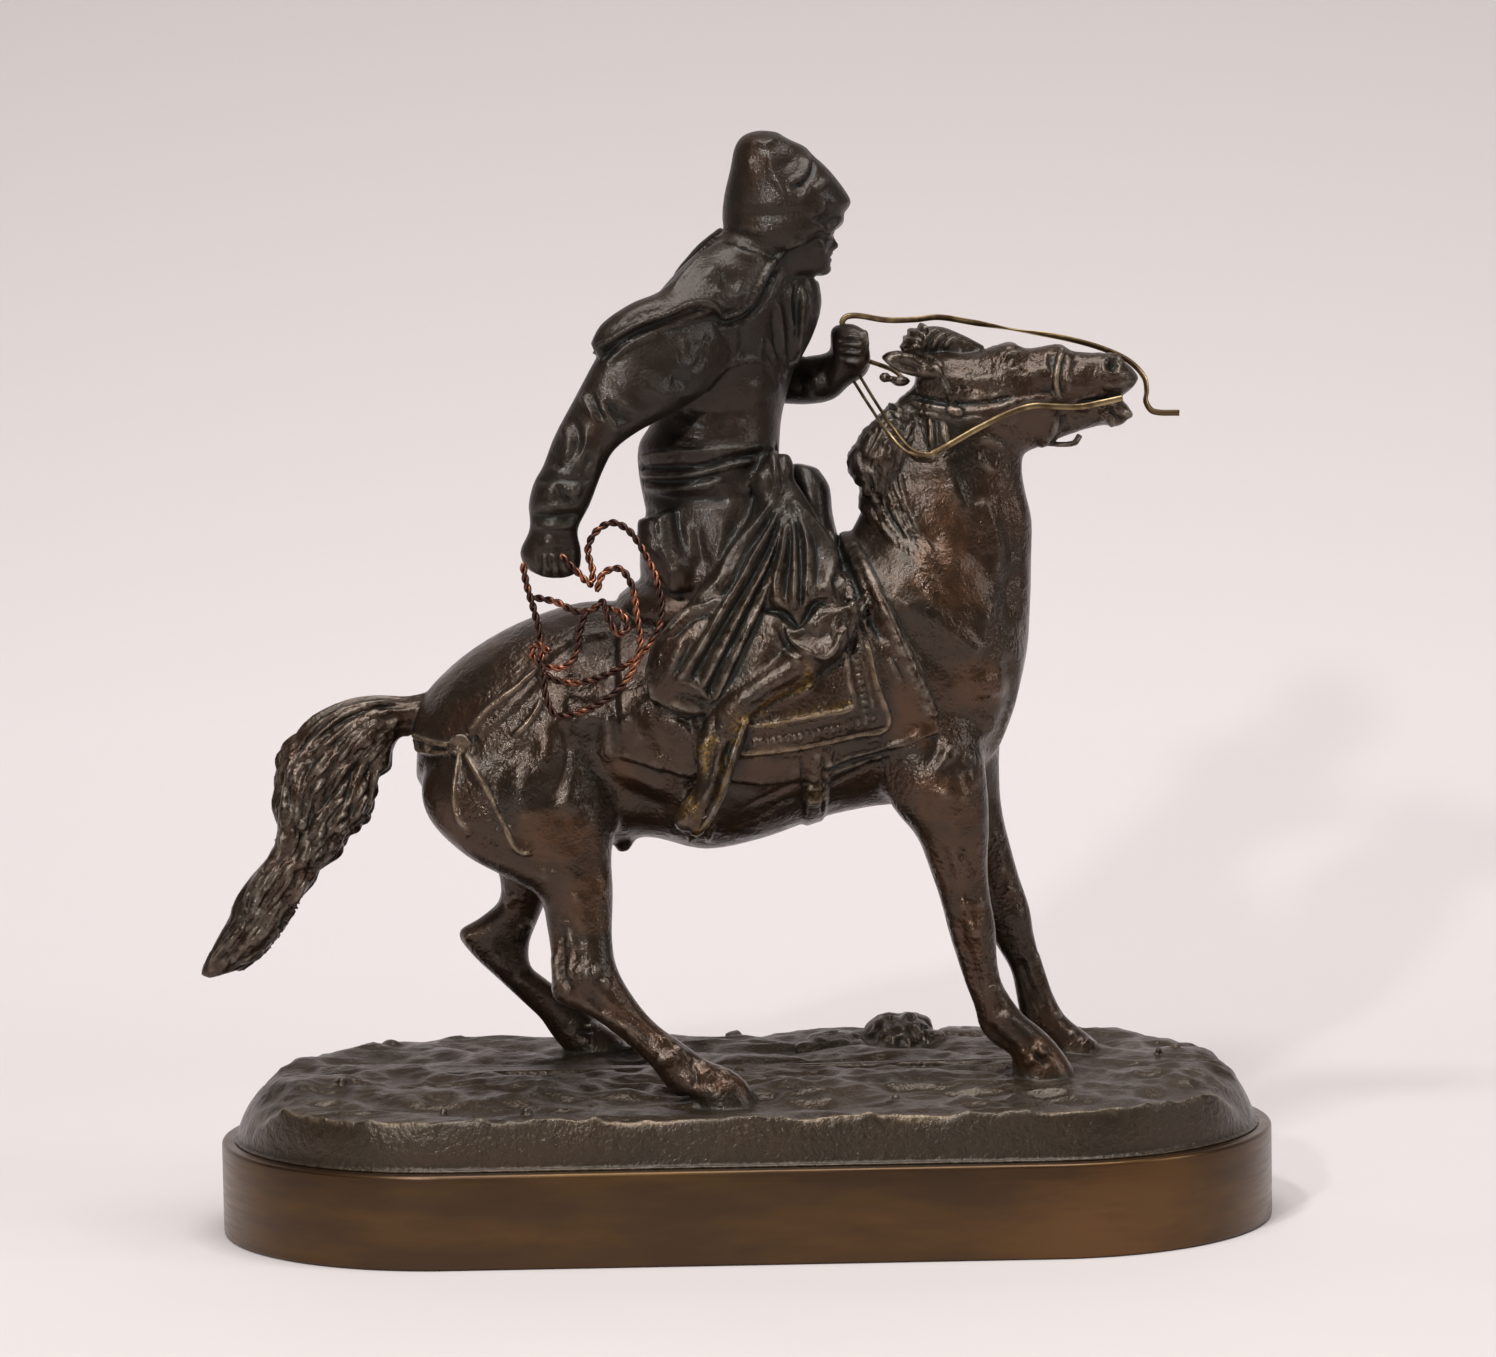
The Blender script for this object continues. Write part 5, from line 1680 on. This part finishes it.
def build_rider():
    """The rider, coat, hood and cap, before their folds."""
    both = [TORSO, RIDER_HEAD, CAP, HOOD, LAPEL, SEAT_OF_COAT, SADDLE_SEAT, POMMEL]
    sided = [REAR_SKIRT, FRONT_SKIRT, THIGH, KNEE_FLAP, BOOT]
    right = [RIGHT_ARM, RIGHT_FLAP, LEFT_FLAP, LEFT_ARM, SASH_KNOT, BOW_CASE]
    forms = [loft(rows, 48) for rows in both] + [loft(rows) for rows in right + sided]
    forms += [loft(other_side(rows)) for rows in sided]
    rider = join_objects(forms + face_forms(), "rider")
    fuse(rider, 0.5)
    points = points_of(rider.data)
    face = smoothstep(13, 16, points[:, 0]) * smoothstep(196, 198, points[:, 2])
    soften(rider, 7, 1 - 0.75 * face)
    return rider


def store(obj, name, values):
    """Keeps a number at each point, for the material."""
    made = obj.data.attributes.new(name, "FLOAT", "POINT")
    made.data.foreach_set("value", np.clip(values, 0, 1).astype(np.float32))


def touched_areas(points, normals, areas):
    """How much of each point lies in areas drawn in the near view, on both sides of the pony."""
    total = np.zeros(len(points))
    for view in ("near", "far"):
        flat, weight = visibility(points, normals, view)
        wander = np.stack([grain(points, 3, 21), grain(points, 3, 22)], 1) * 1.3
        for strength, outline in areas:
            corners = np.array(outline, float)
            near = np.all((flat > corners.min(0) - 4) & (flat < corners.max(0) + 4), axis=1)
            chosen = np.nonzero(near & (weight > 0))[0]
            if len(chosen):
                depth = inside_distance(flat[chosen] + wander[chosen], corners)
                amount = smoothstep(-0.8, 1.2, depth) * weight[chosen] * strength
                total[chosen] = np.maximum(total[chosen], amount)
    return total


def ground_inset(x, y):
    """How far in from the ground's foot a place lies."""
    beyond = np.maximum(np.abs(x) - (PLINTH_LENGTH - PLINTH_WIDTH) / 2, 0)
    return PLINTH_WIDTH / 2 - GROUND_INSET - np.hypot(beyond, y)


def note_surface(obj, crest, polished):
    """Keeps on the mesh what is worn, polished, rubbed or ochre, what lies deep and what is ground."""
    points = points_of(obj.data)
    ends = edge_ends(obj.data)
    normals = steady_normals(obj, ends, 3)
    tight = np.sum((points - relaxed(points, ends, 8)) * normals, axis=1)
    broad = np.sum((points - relaxed(points, ends, 40)) * normals, axis=1)
    tight, broad = (relaxed(values[:, None], ends, 2)[:, 0] for values in (tight, broad))
    worn = smoothstep(0.02, 0.13, tight) * 0.8 + smoothstep(0.15, 0.7, broad) * 0.3
    store(obj, "wear", np.maximum(worn, smoothstep(0.15, 0.8, crest)))
    store(obj, "hollow", smoothstep(0.03, 0.2, -tight) * 0.7 + smoothstep(0.15, 0.8, -broad) * 0.6)
    above = points[:, 2] - ground_height(points[:, 0], points[:, 1], np.full(len(points), 20.0))
    earth = smoothstep(1.8, 1.1, above)
    store(obj, "earth", earth)
    run = (ground_inset(points[:, 0], points[:, 1]) - GROUND_LEDGE) / GROUND_SHOULDER
    chipped = smoothstep(0.09, CREST_RUN, run) * smoothstep(0.19, 0.14, run)
    chipped = chipped * smoothstep(-10, -26, points[:, 1]) * earth
    store(obj, "polished", np.maximum(smoothstep(0.1, 0.5, polished), chipped))
    store(obj, "rubbed", touched_areas(points, normals, RUBBED_AREAS))
    store(obj, "ochre", touched_areas(points, normals, OCHRE_AREAS))


TRIANGLES_ALLOWED = 194000
TRIM_SHARPNESS = 1.3
UNSEEN_FACTOR = 0.01
# Knots of the bridle behind the ear: place and radii
KNOTS = [
    ((31.2, -1, 176.2), (1.2, 1.1, 1.1)), ((34.4, -2, 175.4), (2, 1.3, 1.1)), ((32.8, -1, 175.8), (1.2, 0.8, 0.7)),
]


def build_casting(material):
    """Joins ground, pony, rider and trim into one casting and gives it its folds and fine detail."""
    pony = build_pony()
    rider = build_rider()
    forms = [*pony, rider, *build_ground(), *(ball(*knot) for knot in KNOTS)]
    forms += [loft(TAIL, 160, 0.8, carve=tail_carving), loft(MANE, 72, 0.7, carve=mane_carving)]
    forms += locks(TAIL, 12, (math.pi + 0.3, 2 * math.pi + 0.2), (0.1, 0.75), 0.34, 1.0, 4)
    forms += locks(TAIL, 12, (0.3, math.pi - 0.2), (0.1, 0.75), 0.38, 1.3, 5)
    forms += locks(MANE, 9, (math.pi + 0.2, 2 * math.pi - 0.2), (0.3, 0.8), 0.16, 0.5, 6, 0.08)
    forms += [loft(NEAR_EAR, 28, 0.6), loft(other_side(NEAR_EAR), 28, 0.6), loft(FORELOCK, 40, 0.7)]
    for side in (1, -1):
        route = raised((x, y * side, z) for x, y, z in STIRRUP_ROUTE)
        forms.append(tube(route, STIRRUP_DIAMETER / 2, taper=0.1))
    casting = join_objects(forms, "casting")
    fuse(casting, 0.4)
    soften(casting, 2, np.full(len(casting.data.vertices), 0.7))
    hair = strands(TAIL_UPPER_EDGE, TAIL_LOWER_EDGE, 15, 0.8, 0.45, 3)
    hair += strands(MANE_BACK_EDGE, MANE_FRONT_EDGE, 9, 0.6, 0.42, 8)
    cloth = SKIRT_STROKES + BOOT_STROKES + CAP_STROKES + HOOD_STROKES
    limbs = [(height * 1.4, *rest) for height, *rest in NEAR_LEG_STROKES + FAR_LEG_STROKES]
    crest = press(casting, cloth + COAT_STROKES + SLEEVE_STROKES + LEFT_HAND_STROKES + limbs) * 0.35
    press(casting, FACE_STROKES, "front")
    crest += press(casting, cloth, "far") * 0.35
    trim = PONY_TACK_STROKES + SADDLE_CLOTH_BEADS + HOOD_STUDS + PONY_FINE_STROKES + hair
    crest += press(casting, trim, "near", TRIM_SHARPNESS) * 0.7
    crest += press(casting, trim, "far", TRIM_SHARPNESS) * 0.7
    cords = [(0.9, 0.45, 0.45, line) for _, width, line in PONY_CORDS if width < 2]
    cords += [(0.9, radius * 0.8, radius * 0.8, [spot]) for radius, spot in PONY_DISCS]
    polished = press(casting, cords, "near", 0.3) * 2.8
    note_surface(casting, crest, polished)
    thin_out(casting, TRIANGLES_ALLOWED)
    return finish_piece(casting, material, "horse_and_rider")


def thin_out(obj, triangles):
    """Thins the mesh to so many triangles, first where the photograph doesn't show it."""
    weight = visibility(points_of(obj.data), normals_of(obj.data), "near")[1]
    group = obj.vertex_groups.new(name="unseen")
    unseen = 1 - 0.4 * np.round(weight * 4) / 4
    for level in np.unique(unseen):
        group.add(np.nonzero(unseen == level)[0].tolist(), float(level), "REPLACE")
    apply_modifier(
        obj, "DECIMATE", ratio=triangles / (2 * len(obj.data.polygons)), vertex_group="unseen",
        vertex_group_factor=UNSEEN_FACTOR,
    )
    obj.vertex_groups.clear()


def finish_piece(obj, material, node):
    """Scales a piece to metres, smooths its shading, dresses it and puts it in its CAD node's place."""
    obj.data.transform(Matrix.Scale(MM, 4))
    obj.data.update()
    select_only(obj)
    bpy.ops.object.shade_smooth()
    obj.data.materials.clear()
    obj.data.materials.append(material)
    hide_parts(node)
    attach(obj, "root")
    return obj


# Plinth

def build_plinth(settings, material):
    """A round disc, drawn out to its oval ends, with its edges rounded off."""
    bpy.ops.object.select_all(action="DESELECT")
    bpy.ops.mesh.primitive_cylinder_add(
        vertices=settings.sides, radius=settings.width / 2, depth=settings.height,
        location=(0, 0, settings.height / 2),
    )
    plinth = bpy.context.view_layer.objects.active
    plinth.name = "plinth_body"
    bpy.ops.object.transform_apply(location=True, rotation=True, scale=True)
    half = (settings.length - settings.width) / 2
    for direction in (1, -1):
        for point in plinth.data.vertices:
            point.select = point.co.x * direction > 1e-6
        for edge in plinth.data.edges:
            edge.select = all(plinth.data.vertices[i].select for i in edge.vertices)
        for face in plinth.data.polygons:
            face.select = all(plinth.data.vertices[i].select for i in face.vertices)
        bpy.ops.object.mode_set(mode="EDIT")
        bpy.ops.transform.translate(value=(half * direction, 0, 0))
        bpy.ops.object.mode_set(mode="OBJECT")
    apply_modifier(plinth, "BEVEL", width=settings.edge, segments=4, limit_method="ANGLE")
    select_only(plinth)
    bpy.ops.object.shade_smooth_by_angle(angle=math.radians(40))
    plinth.data.materials.clear()
    plinth.data.materials.append(material)
    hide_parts("plinth")
    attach(plinth, "root")
    return plinth


# Reins and lasso

def raised(route):
    """A route as it was drawn, lifted with the figure."""
    return [(x, y, z + FIGURE_LIFT) for x, y, z in route]


def twisted_pair(route, radius, pitch):
    """Two wires laid round each other along a line."""
    line = curve_through(raised(route), 0.33)
    heading = np.gradient(line, axis=0)
    heading /= np.linalg.norm(heading, axis=1)[:, None]
    travelled = np.concatenate([[0], np.cumsum(np.linalg.norm(np.diff(line, axis=0), axis=1))])
    side = np.cross(heading[0], [0.3, 0.1, 0.95])
    wires = [[], []]
    for place, ahead, distance in zip(line, heading, travelled):
        side = side - ahead * (side @ ahead)
        side /= np.linalg.norm(side)
        turn = distance / pitch * 2 * math.pi
        offset = (side * math.cos(turn) + np.cross(ahead, side) * math.sin(turn)) * radius
        wires[0].append(place + offset)
        wires[1].append(place - offset)
    return [tube(wire, radius, sides=8, step=0.33) for wire in wires]


def build_lasso(material):
    """The lasso's loops, each of two wires laid round each other."""
    forms = []
    for route in LASSO_ROUTES:
        forms += twisted_pair(route, LASSO_WIRE_DIAMETER / 2, LASSO_PITCH)
    return finish_piece(join_objects(forms, "lasso_rope"), material, "lasso")


def build_reins(material):
    """The near rein, of two strands pressed into one strip, the far rein, a strip, and the short wire."""
    strip = REIN_WIDTH / REIN_THICKNESS
    near = raised(NEAR_REIN_ROUTE)
    parting = [0.7, 0.65, 0.6, 0.45, 0.2, 0.1]
    upper = [(x + part, y - 0.1, z + part * 0.6) for part, (x, y, z) in zip(parting, near)]
    lower = [(x - part, y, z - part * 0.6) for part, (x, y, z) in zip(parting, near)]
    forms = [
        tube(upper, 0.36, 8, 0.4), tube(lower, 0.36, 8, 0.4),
        tube(near[4:], REIN_THICKNESS / 2, 12, 0.4, strip),
    ]
    near_rein = join_objects(forms, "near_rein_strip")
    fuse(near_rein, 0.16)
    finish_piece(near_rein, material, "near_rein")
    far_rein = tube(
        raised(FAR_REIN_ROUTE), REIN_THICKNESS / 2 * 0.7, 12, 0.4, strip / 0.7,
        turns_at=([0, 0.36, 0.45, 0.55, 1], [0, 0, 75, 10, 0]),
    )
    far_rein.name = "far_rein_strip"
    finish_piece(far_rein, material, "far_rein")
    short_rein = tube(raised(SHORT_REIN_ROUTE), SHORT_REIN_DIAMETER / 2, 12, 0.4)
    short_rein.name = "short_rein_wire"
    finish_piece(short_rein, material, "short_rein")


# Stage

def build_stage(settings):
    """A pale paper sweep, soft lamps and the camera."""
    bpy.ops.object.select_all(action="DESELECT")
    bpy.ops.mesh.primitive_plane_add(size=1, location=(0, 0, 0))
    sweep = bpy.context.view_layer.objects.active
    sweep.name = "paper_sweep"
    sweep.data.transform(Matrix.Translation(PAPER_MIDDLE) @ Matrix.Diagonal((*PAPER_SIZE, 1, 1)))
    for point in sweep.data.vertices:
        point.select = point.co.y > 0
    for edge in sweep.data.edges:
        edge.select = all(sweep.data.vertices[i].select for i in edge.vertices)
    for face in sweep.data.polygons:
        face.select = False
    bpy.ops.object.mode_set(mode="EDIT")
    bpy.ops.mesh.select_mode(type="EDGE")
    bpy.ops.mesh.extrude_region_move(TRANSFORM_OT_translate={"value": PAPER_RISE})
    bpy.ops.object.mode_set(mode="OBJECT")
    apply_modifier(sweep, "BEVEL", width=PAPER_BEND, segments=24, limit_method="ANGLE")
    select_only(sweep)
    bpy.ops.object.shade_smooth()
    sweep.data.materials.append(paper_material(settings.paper_colour))
    add_lamp("top_softbox", (0.1, -0.25, 1.3), (0.0, 0, 0.05), (0.9, 0.7), settings.top_light)
    add_lamp("key_lamp", (-0.45, -0.85, 1.15), (0, 0, 0.12), (0.14, 0.14), settings.key_light)
    add_lamp("front_lamp", (-0.42, -1.15, 0.62), (0, 0, 0.11), (0.05, 0.05), settings.front_light)
    add_lamp("right_strip", (1.0, -0.35, 0.55), (0, 0, 0.13), (0.16, 0.6), settings.right_light)
    add_lamp("paper_lamp", (0.0, 0.25, 1.5), (0, 0.85, 0.2), (1.6, 0.3), settings.paper_light)
    world = bpy.data.worlds.new("studio")
    world.use_nodes = True
    background = world.node_tree.nodes["Background"]
    background.inputs[0].default_value = linear("#f2ece8")
    background.inputs[1].default_value = settings.room_light
    bpy.context.scene.world = world
    bpy.context.scene.view_settings.view_transform = "Standard"
    add_camera()


def add_lamp(name, place, target, size, watts):
    """A soft rectangular lamp that faces a point."""
    bpy.ops.object.light_add(type="AREA", location=place)
    lamp = bpy.context.view_layer.objects.active
    lamp.name = name
    lamp.data.shape = "RECTANGLE"
    lamp.data.size, lamp.data.size_y = size
    lamp.data.energy = watts
    heading = Vector(target) - Vector(place)
    lamp.rotation_euler = heading.to_track_quat("-Z", "Y").to_euler()
    return lamp


def add_camera():
    """The camera where the photograph was taken from."""
    ahead = (LOOK_AT - EYE) / np.linalg.norm(LOOK_AT - EYE)
    right = np.cross(ahead, (0, 0, 1))
    right /= np.linalg.norm(right)
    up = np.cross(right, ahead)
    roll = math.radians(CAMERA_ROLL_DEGREES)
    rolled_right = right * math.cos(roll) - up * math.sin(roll)
    rolled_up = up * math.cos(roll) + right * math.sin(roll)
    bpy.ops.object.camera_add()
    camera = bpy.context.view_layer.objects.active
    camera.name = "camera"
    turned = Matrix([[rolled_right[i], rolled_up[i], -ahead[i]] for i in range(3)]).to_4x4()
    turned.translation = Vector(EYE * MM)
    camera.matrix_world = turned
    camera.data.lens = LENS
    camera.data.sensor_width = SENSOR_WIDTH
    camera.data.sensor_fit = "HORIZONTAL"
    camera.data.clip_end = 20
    bpy.context.scene.camera = camera


# Settings

def colour(name, description, hex_colour):
    return bpy.props.FloatVectorProperty(
        name=name, description=description, default=linear(hex_colour), size=4, min=0, max=1, subtype="COLOR",
    )


def factor(name, description, value):
    return bpy.props.FloatProperty(
        name=name, description=description, default=value, min=0, max=1, subtype="FACTOR",
    )


class StatuetteCastingSettings(bpy.types.PropertyGroup):
    """Colours and gloss of the casting."""
    patina_colour: colour("Patina", "Dark brown patina", "#33291f")
    warm_colour: colour("Warm patina", "Patina where it is thinner", "#453022")
    worn_colour: colour("Worn edges", "High places that handling keeps bright", "#8a7f72")
    rubbed_colour: colour("Rubbed", "Brown metal under the patina", "#5a3a22")
    recess_colour: colour("Recesses", "Grey-green bloom in the hollows", "#25241f")
    cloth_colour: colour("Clothes", "Darker patina of the rider's clothes", "#221a13")
    polished_colour: colour("Light metal", "Light bronze of cords, discs and chipped edges", "#8f7a62")
    ground_colour: colour("Ground", "Dull grey-brown bronze of the cast ground", "#42392c")
    ochre_colour: colour("Ochre", "Golden metal on edges and straps", "#8c6a22")
    metal: factor("Metal", "How much of the look is metal and not patina", 0.7)
    roughness: factor("Roughness", "How matt the patina is", 0.31)
    wax: factor("Wax", "How much wax lies on the patina", 0.3)
    wax_roughness: factor("Wax roughness", "How matt the wax is", 0.13)
    wear_share: factor("Wear", "How strongly worn edges show", 0.65)
    dent_depth: bpy.props.FloatProperty(
        name="Dents", description="Depth of the chased dents in millimetres", default=0.2, min=0,
    )


class StatuettePlinthSettings(bpy.types.PropertyGroup):
    """Sizes and colours of the plinth."""
    length: bpy.props.FloatProperty(
        name="Length", description="Over both round ends", default=PLINTH_LENGTH * MM, unit="LENGTH",
    )
    width: bpy.props.FloatProperty(
        name="Width", description="Across the plinth", default=PLINTH_WIDTH * MM, unit="LENGTH",
    )
    height: bpy.props.FloatProperty(
        name="Height", description="From the table up", default=PLINTH_HEIGHT * MM, unit="LENGTH",
    )
    edge: bpy.props.FloatProperty(
        name="Edge", description="Rounding of its edges", default=0.0008, unit="LENGTH",
    )
    sides: bpy.props.IntProperty(
        name="Sides", description="Facets of both ends together", default=192, min=24,
    )
    plinth_colour: colour("Patina", "Brown patina", "#4b3726")
    plinth_gold: colour("Thin patina", "Golden brown where it is thin", "#604626")
    plinth_rubbed: colour("Rubbed", "Bright gold where it is held", "#6b4c2d")


class StatuetteWireSettings(bpy.types.PropertyGroup):
    """Colours of the reins and the lasso."""
    brass_colour: colour("Brass", "Bright brass of the reins", "#a08a66")
    brass_tarnish: colour("Brass tarnish", "Dark brown on the reins", "#5a4833")
    copper_colour: colour("Copper", "Bright copper of the lasso", "#97624a")
    copper_tarnish: colour("Copper tarnish", "Dark brown on the lasso", "#45302a")


def watts(name, description, value):
    return bpy.props.FloatProperty(name=name, description=description, default=value, min=0, unit="POWER")


class StatuetteStageSettings(bpy.types.PropertyGroup):
    """Paper and lamps."""
    paper_colour: colour("Paper", "The paper sweep", "#dbd3d1")
    top_light: watts("Top", "Large overhead softbox", 12.5)
    key_light: watts("Key", "Small lamp at the upper left", 6.5)
    front_light: watts("Front", "Small lamp beside the camera, for the glints", 4.6)
    right_light: watts("Right", "Strip at the right", 2)
    paper_light: watts("Paper", "Strip that lights the paper behind", 0.8)
    room_light: bpy.props.FloatProperty(name="Room", description="Light from all round", default=0.12, min=0)


# Operators and panel

class StatuetteCasting(bpy.types.Operator):
    """Builds the rider, the pony and their cast ground as one casting"""
    bl_idname = "statuette.casting"
    bl_label = "Horse and rider"

    def execute(self, context):
        build_casting(cast_bronze_material(context.scene.statuette_casting))
        return {"FINISHED"}


class StatuettePlinth(bpy.types.Operator):
    """Builds the oval-ended plinth"""
    bl_idname = "statuette.plinth"
    bl_label = "Plinth"

    def execute(self, context):
        settings = context.scene.statuette_plinth
        build_plinth(settings, plinth_bronze_material(settings))
        return {"FINISHED"}


class StatuetteReins(bpy.types.Operator):
    """Builds the near, far and short reins"""
    bl_idname = "statuette.reins"
    bl_label = "Reins"

    def execute(self, context):
        settings = context.scene.statuette_wire
        build_reins(wire_material(
            "tarnished_brass_strip", settings.brass_colour, settings.brass_tarnish, BRASS_STRETCH,
            BRASS_BRIGHT_SHARE,
        ))
        return {"FINISHED"}


class StatuetteLasso(bpy.types.Operator):
    """Builds the twisted copper lasso"""
    bl_idname = "statuette.lasso"
    bl_label = "Lasso"

    def execute(self, context):
        settings = context.scene.statuette_wire
        build_lasso(wire_material(
            "tarnished_copper_wire", settings.copper_colour, settings.copper_tarnish, COPPER_STRETCH,
            COPPER_BRIGHT_SHARE,
        ))
        return {"FINISHED"}


class StatuetteStage(bpy.types.Operator):
    """Builds the paper sweep, the lamps and the camera"""
    bl_idname = "statuette.stage"
    bl_label = "Stage"

    def execute(self, context):
        build_stage(context.scene.statuette_stage)
        return {"FINISHED"}


class StatuettePanel(bpy.types.Panel):
    """Lists the statuette's pieces in the sidebar."""
    bl_idname = "VIEW3D_PT_statuette"
    bl_label = "Equestrian statuette"
    bl_space_type = "VIEW_3D"
    bl_region_type = "UI"
    bl_category = "Statuette"

    def draw(self, context):
        for operator in OPERATORS:
            self.layout.operator(operator.bl_idname)


OPERATORS = (StatuettePlinth, StatuetteCasting, StatuetteReins, StatuetteLasso, StatuetteStage)
SETTINGS = {
    "statuette_casting": StatuetteCastingSettings,
    "statuette_plinth": StatuettePlinthSettings,
    "statuette_wire": StatuetteWireSettings,
    "statuette_stage": StatuetteStageSettings,
}


def register():
    for group in SETTINGS.values():
        bpy.utils.register_class(group)
    for name, group in SETTINGS.items():
        setattr(bpy.types.Scene, name, bpy.props.PointerProperty(type=group))
    for kind in (*OPERATORS, StatuettePanel):
        bpy.utils.register_class(kind)


def unregister():
    for kind in (StatuettePanel, *reversed(OPERATORS)):
        bpy.utils.unregister_class(kind)
    for name in SETTINGS:
        delattr(bpy.types.Scene, name)
    for group in reversed(list(SETTINGS.values())):
        bpy.utils.unregister_class(group)


def main():
    register()
    for operator in OPERATORS:
        group, name = operator.bl_idname.split(".")
        getattr(getattr(bpy.ops, group), name)()
    bpy.context.view_layer.update()


if __name__ == "__main__":
    main()
